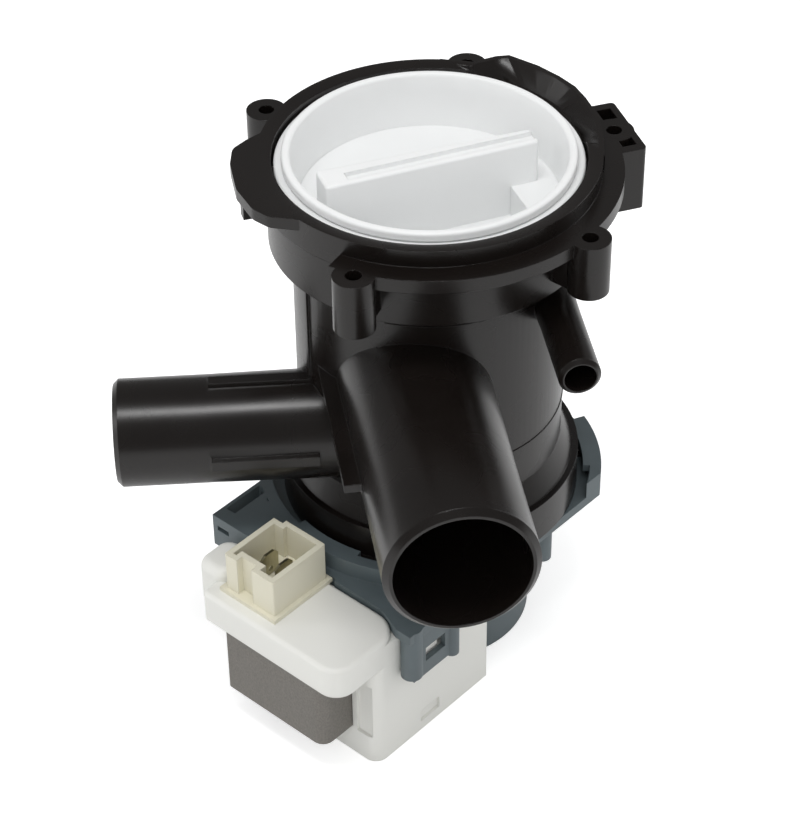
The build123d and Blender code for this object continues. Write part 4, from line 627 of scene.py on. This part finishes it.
def make_floor_material():
    """Pale floor that keeps shadows and looks white to the camera."""
    material, tree, place = blank_material("pale_floor")
    path = add(tree, "ShaderNodeLightPath").outputs
    shine_inputs = {0: path["Is Glossy Ray"], 1: FLOOR_GLOSS_SHARE}
    shine = add(tree, "ShaderNodeMath", shine_inputs, operation="MULTIPLY").outputs[0]
    seen = add(tree, "ShaderNodeMath", {0: path["Is Camera Ray"], 1: shine}, operation="MAXIMUM").outputs[0]
    seen_inputs = {0: seen, 1: path["Is Transmission Ray"]}
    seen = add(tree, "ShaderNodeMath", seen_inputs, operation="MAXIMUM").outputs[0]
    cloud = add(tree, "ShaderNodeTexNoise", {"Vector": place, "Scale": 1 / FLOOR_CLOUD}).outputs["Fac"]
    tone_inputs = {MIX_FACTOR: cloud, MIX_FIRST: linear("f4f4f4"), MIX_SECOND: linear("f8f8f8")}
    tone = add(tree, "ShaderNodeMix", tone_inputs, data_type="RGBA").outputs[MIX_RESULT]
    matt = add(tree, "ShaderNodeBsdfDiffuse", {"Color": tone}).outputs[0]
    lift = add(tree, "ShaderNodeMapRange", {"Value": seen, "To Max": FLOOR_GLOW}).outputs[0]
    glow = add(tree, "ShaderNodeEmission", {"Color": WHITE, "Strength": lift}).outputs[0]
    both = add(tree, "ShaderNodeAddShader", {0: matt, 1: glow}).outputs[0]
    add(tree, "ShaderNodeOutputMaterial", {"Surface": both})
    return material


def make_lamp(row, power):
    """Soft oblong lamp that faces the middle of the object."""
    data = bpy.data.lights.new(row["name"], "AREA")
    data.shape = "RECTANGLE"
    data.size = row["size"][0]
    data.size_y = row["size"][1]
    data.energy = power
    item = bpy.data.objects.new(row["name"], data)
    bpy.context.scene.collection.objects.link(item)
    item.location = row["place"]
    way = Vector(LAMP_AIM) - Vector(row["place"])
    item.rotation_euler = way.to_track_quat("-Z", "Y").to_euler()
    return item


def set_world(strength, mirror):
    """Pale surroundings: white to the camera, softer on the object and in its gloss."""
    world = bpy.data.worlds.new("studio")
    bpy.context.scene.world = world
    world.use_nodes = True
    tree = world.node_tree
    tree.nodes.clear()
    path = add(tree, "ShaderNodeLightPath").outputs
    seen_inputs = {0: path["Is Camera Ray"], 1: path["Is Transmission Ray"]}
    seen = add(tree, "ShaderNodeMath", seen_inputs, operation="MAXIMUM").outputs[0]
    glossy_inputs = {"Value": path["Is Glossy Ray"], "To Min": strength, "To Max": mirror}
    glossy = add(tree, "ShaderNodeMapRange", glossy_inputs).outputs[0]
    power = add(tree, "ShaderNodeMath", {0: seen, 1: glossy}, operation="MAXIMUM").outputs[0]
    back = add(tree, "ShaderNodeBackground", {"Color": WHITE, "Strength": power}).outputs[0]
    add(tree, "ShaderNodeOutputWorld", {"Surface": back})


def set_camera(lens):
    """Camera at the place and turn fitted to the object."""
    data = bpy.data.cameras.new("camera")
    data.lens = lens
    data.sensor_fit = "VERTICAL"
    data.sensor_height = SENSOR_HEIGHT
    data.clip_start = CLIP_START
    camera = bpy.data.objects.new("camera", data)
    bpy.context.scene.collection.objects.link(camera)
    right = Vector(RIGHT).normalized()
    back = -Vector(LOOK).normalized()
    up = back.cross(right).normalized()
    turned = Matrix((right, up, back)).transposed().to_4x4()
    camera.matrix_world = Matrix.Translation(Vector(EYE) * MM) @ turned
    bpy.context.scene.camera = camera


# Operators

class PUMP_OT_finishes(bpy.types.Operator):
    """Makes the finishes and dresses every CAD node that is carried over"""
    bl_idname = "pump.finishes"
    bl_label = "Finishes"

    def execute(self, context):
        make_coloured_finishes(context.scene.pump_finishes)
        make_plain_finishes()
        for node, carried in frame["nodes"].items():
            carried.data.materials.clear()
            carried.data.materials.append(finish_of(SLOT_OF[node]))
        return {"FINISHED"}


class PUMP_OT_housing(bpy.types.Operator):
    """Joins the nodes of the black moulding into one and eases its hose stubs"""
    bl_idname = "pump.housing"
    bl_label = "Housing"

    def execute(self, context):
        mesh = joined(HOUSING_NODES, "housing_moulding")
        for stub in STUBS:
            ease_stub(mesh, stub)
        smooth(mesh)
        first = HOUSING_NODES[0]
        finished("housing_moulding", mesh, BODY_OF[first], SLOT_OF[first], HOUSING_NODES)
        return {"FINISHED"}


class PUMP_OT_mouldings(bpy.types.Operator):
    """Shows each of the other visible pieces as a merged copy with smooth round faces"""
    bl_idname = "pump.mouldings"
    bl_label = "Mouldings"

    def execute(self, context):
        for node, name in COPIES.items():
            mesh = merged_copy(node, name)
            smooth(mesh)
            finished(name, mesh, BODY_OF[node], SLOT_OF[node], (node,))
        return {"FINISHED"}


class PUMP_OT_sheets(bpy.types.Operator):
    """Stacks the thin steel sheets that show at the end of the motor"""
    bl_idname = "pump.sheets"
    bl_label = "Lamination sheets"

    def execute(self, context):
        settings = context.scene.pump_sheets
        slot = SLOT_OF["stator_core"]
        values = {
            "Count": settings.count, "Low": STACK_LOW, "Height": STACK_HEIGHT, "Gap": settings.gap,
        }
        tree = stack_tree(finish_of(slot))
        mesh = grown(tree, "lamination_sheets", values, sheet_outline(settings))
        finished("lamination_sheets", mesh, BODY_OF["stator_core"], slot)
        return {"FINISHED"}


class PUMP_OT_mould_lines(bpy.types.Operator):
    """Lays the fine mould lines on the filter chamber"""
    bl_idname = "pump.mould_lines"
    bl_label = "Mould lines"

    def execute(self, context):
        slot = SLOT_OF["pump_housing"]
        for line in LINES:
            values = {
                "Radius": LINE_R * MM, "Height": line["height"] * MM, "Bead": context.scene.pump_trim.line,
                "Start": math.radians(line["start"]), "Sweep": math.radians(line["sweep"]),
            }
            mesh = grown(line_tree(finish_of(slot)), line["name"], values)
            finished(line["name"], mesh, BODY_OF["pump_housing"], slot)
        return {"FINISHED"}


class PUMP_OT_stage(bpy.types.Operator):
    """Sets up the floor, the lamps, the surroundings and the camera"""
    bl_idname = "pump.stage"
    bl_label = "Stage"

    def execute(self, context):
        settings = context.scene.pump_stage
        mesh = bpy.data.meshes.new("floor")
        corners = [
            (-FLOOR_REACH, -FLOOR_REACH, 0), (FLOOR_REACH, -FLOOR_REACH, 0),
            (FLOOR_REACH, FLOOR_REACH, 0), (-FLOOR_REACH, FLOOR_REACH, 0),
        ]
        mesh.from_pydata(corners, [], [(0, 1, 2, 3)])
        floor = linked_object("floor", mesh)
        mesh.materials.append(make_floor_material())
        lamps = [make_lamp(row, getattr(settings, row["power"])) for row in LAMPS]
        # The front lamp only fills in, so that the gloss of the black plastic stays deep
        lamps[-1].visible_glossy = False
        set_world(settings.sky, settings.mirror)
        set_camera(settings.lens)
        context.scene.view_settings.view_transform = "Standard"
        return {"FINISHED"}


class PUMP_PT_panel(bpy.types.Panel):
    """Lists the steps and values of the pump"""
    bl_idname = "PUMP_PT_panel"
    bl_label = "Washer drain pump"
    bl_space_type = "VIEW_3D"
    bl_region_type = "UI"
    bl_category = "Pump"

    def draw(self, context):
        layout = self.layout
        for operator in OPERATORS:
            layout.operator(operator.bl_idname)
        for group in GROUPS:
            values = getattr(context.scene, group)
            box = layout.box()
            for name in values.__annotations__:
                box.prop(values, name)


OPERATORS = (
    PUMP_OT_finishes, PUMP_OT_housing, PUMP_OT_mouldings, PUMP_OT_sheets, PUMP_OT_mould_lines, PUMP_OT_stage,
)
GROUPS = {
    "pump_finishes": PumpFinishes, "pump_sheets": PumpSheets, "pump_trim": PumpTrim, "pump_stage": PumpStage,
}


def register():
    """Registers the value groups, the operators and the panel."""
    for name, group in GROUPS.items():
        bpy.utils.register_class(group)
        setattr(bpy.types.Scene, name, PointerProperty(type=group))
    for operator in OPERATORS:
        bpy.utils.register_class(operator)
    bpy.utils.register_class(PUMP_PT_panel)


def unregister():
    """Takes out what register put in."""
    bpy.utils.unregister_class(PUMP_PT_panel)
    for operator in reversed(OPERATORS):
        bpy.utils.unregister_class(operator)
    for name, group in GROUPS.items():
        delattr(bpy.types.Scene, name)
        bpy.utils.unregister_class(group)


def main():
    """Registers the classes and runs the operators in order."""
    register()
    bpy.ops.pump.finishes()
    bpy.ops.pump.housing()
    bpy.ops.pump.mouldings()
    bpy.ops.pump.sheets()
    bpy.ops.pump.mould_lines()
    bpy.ops.pump.stage()


if __name__ == "__main__":
    main()
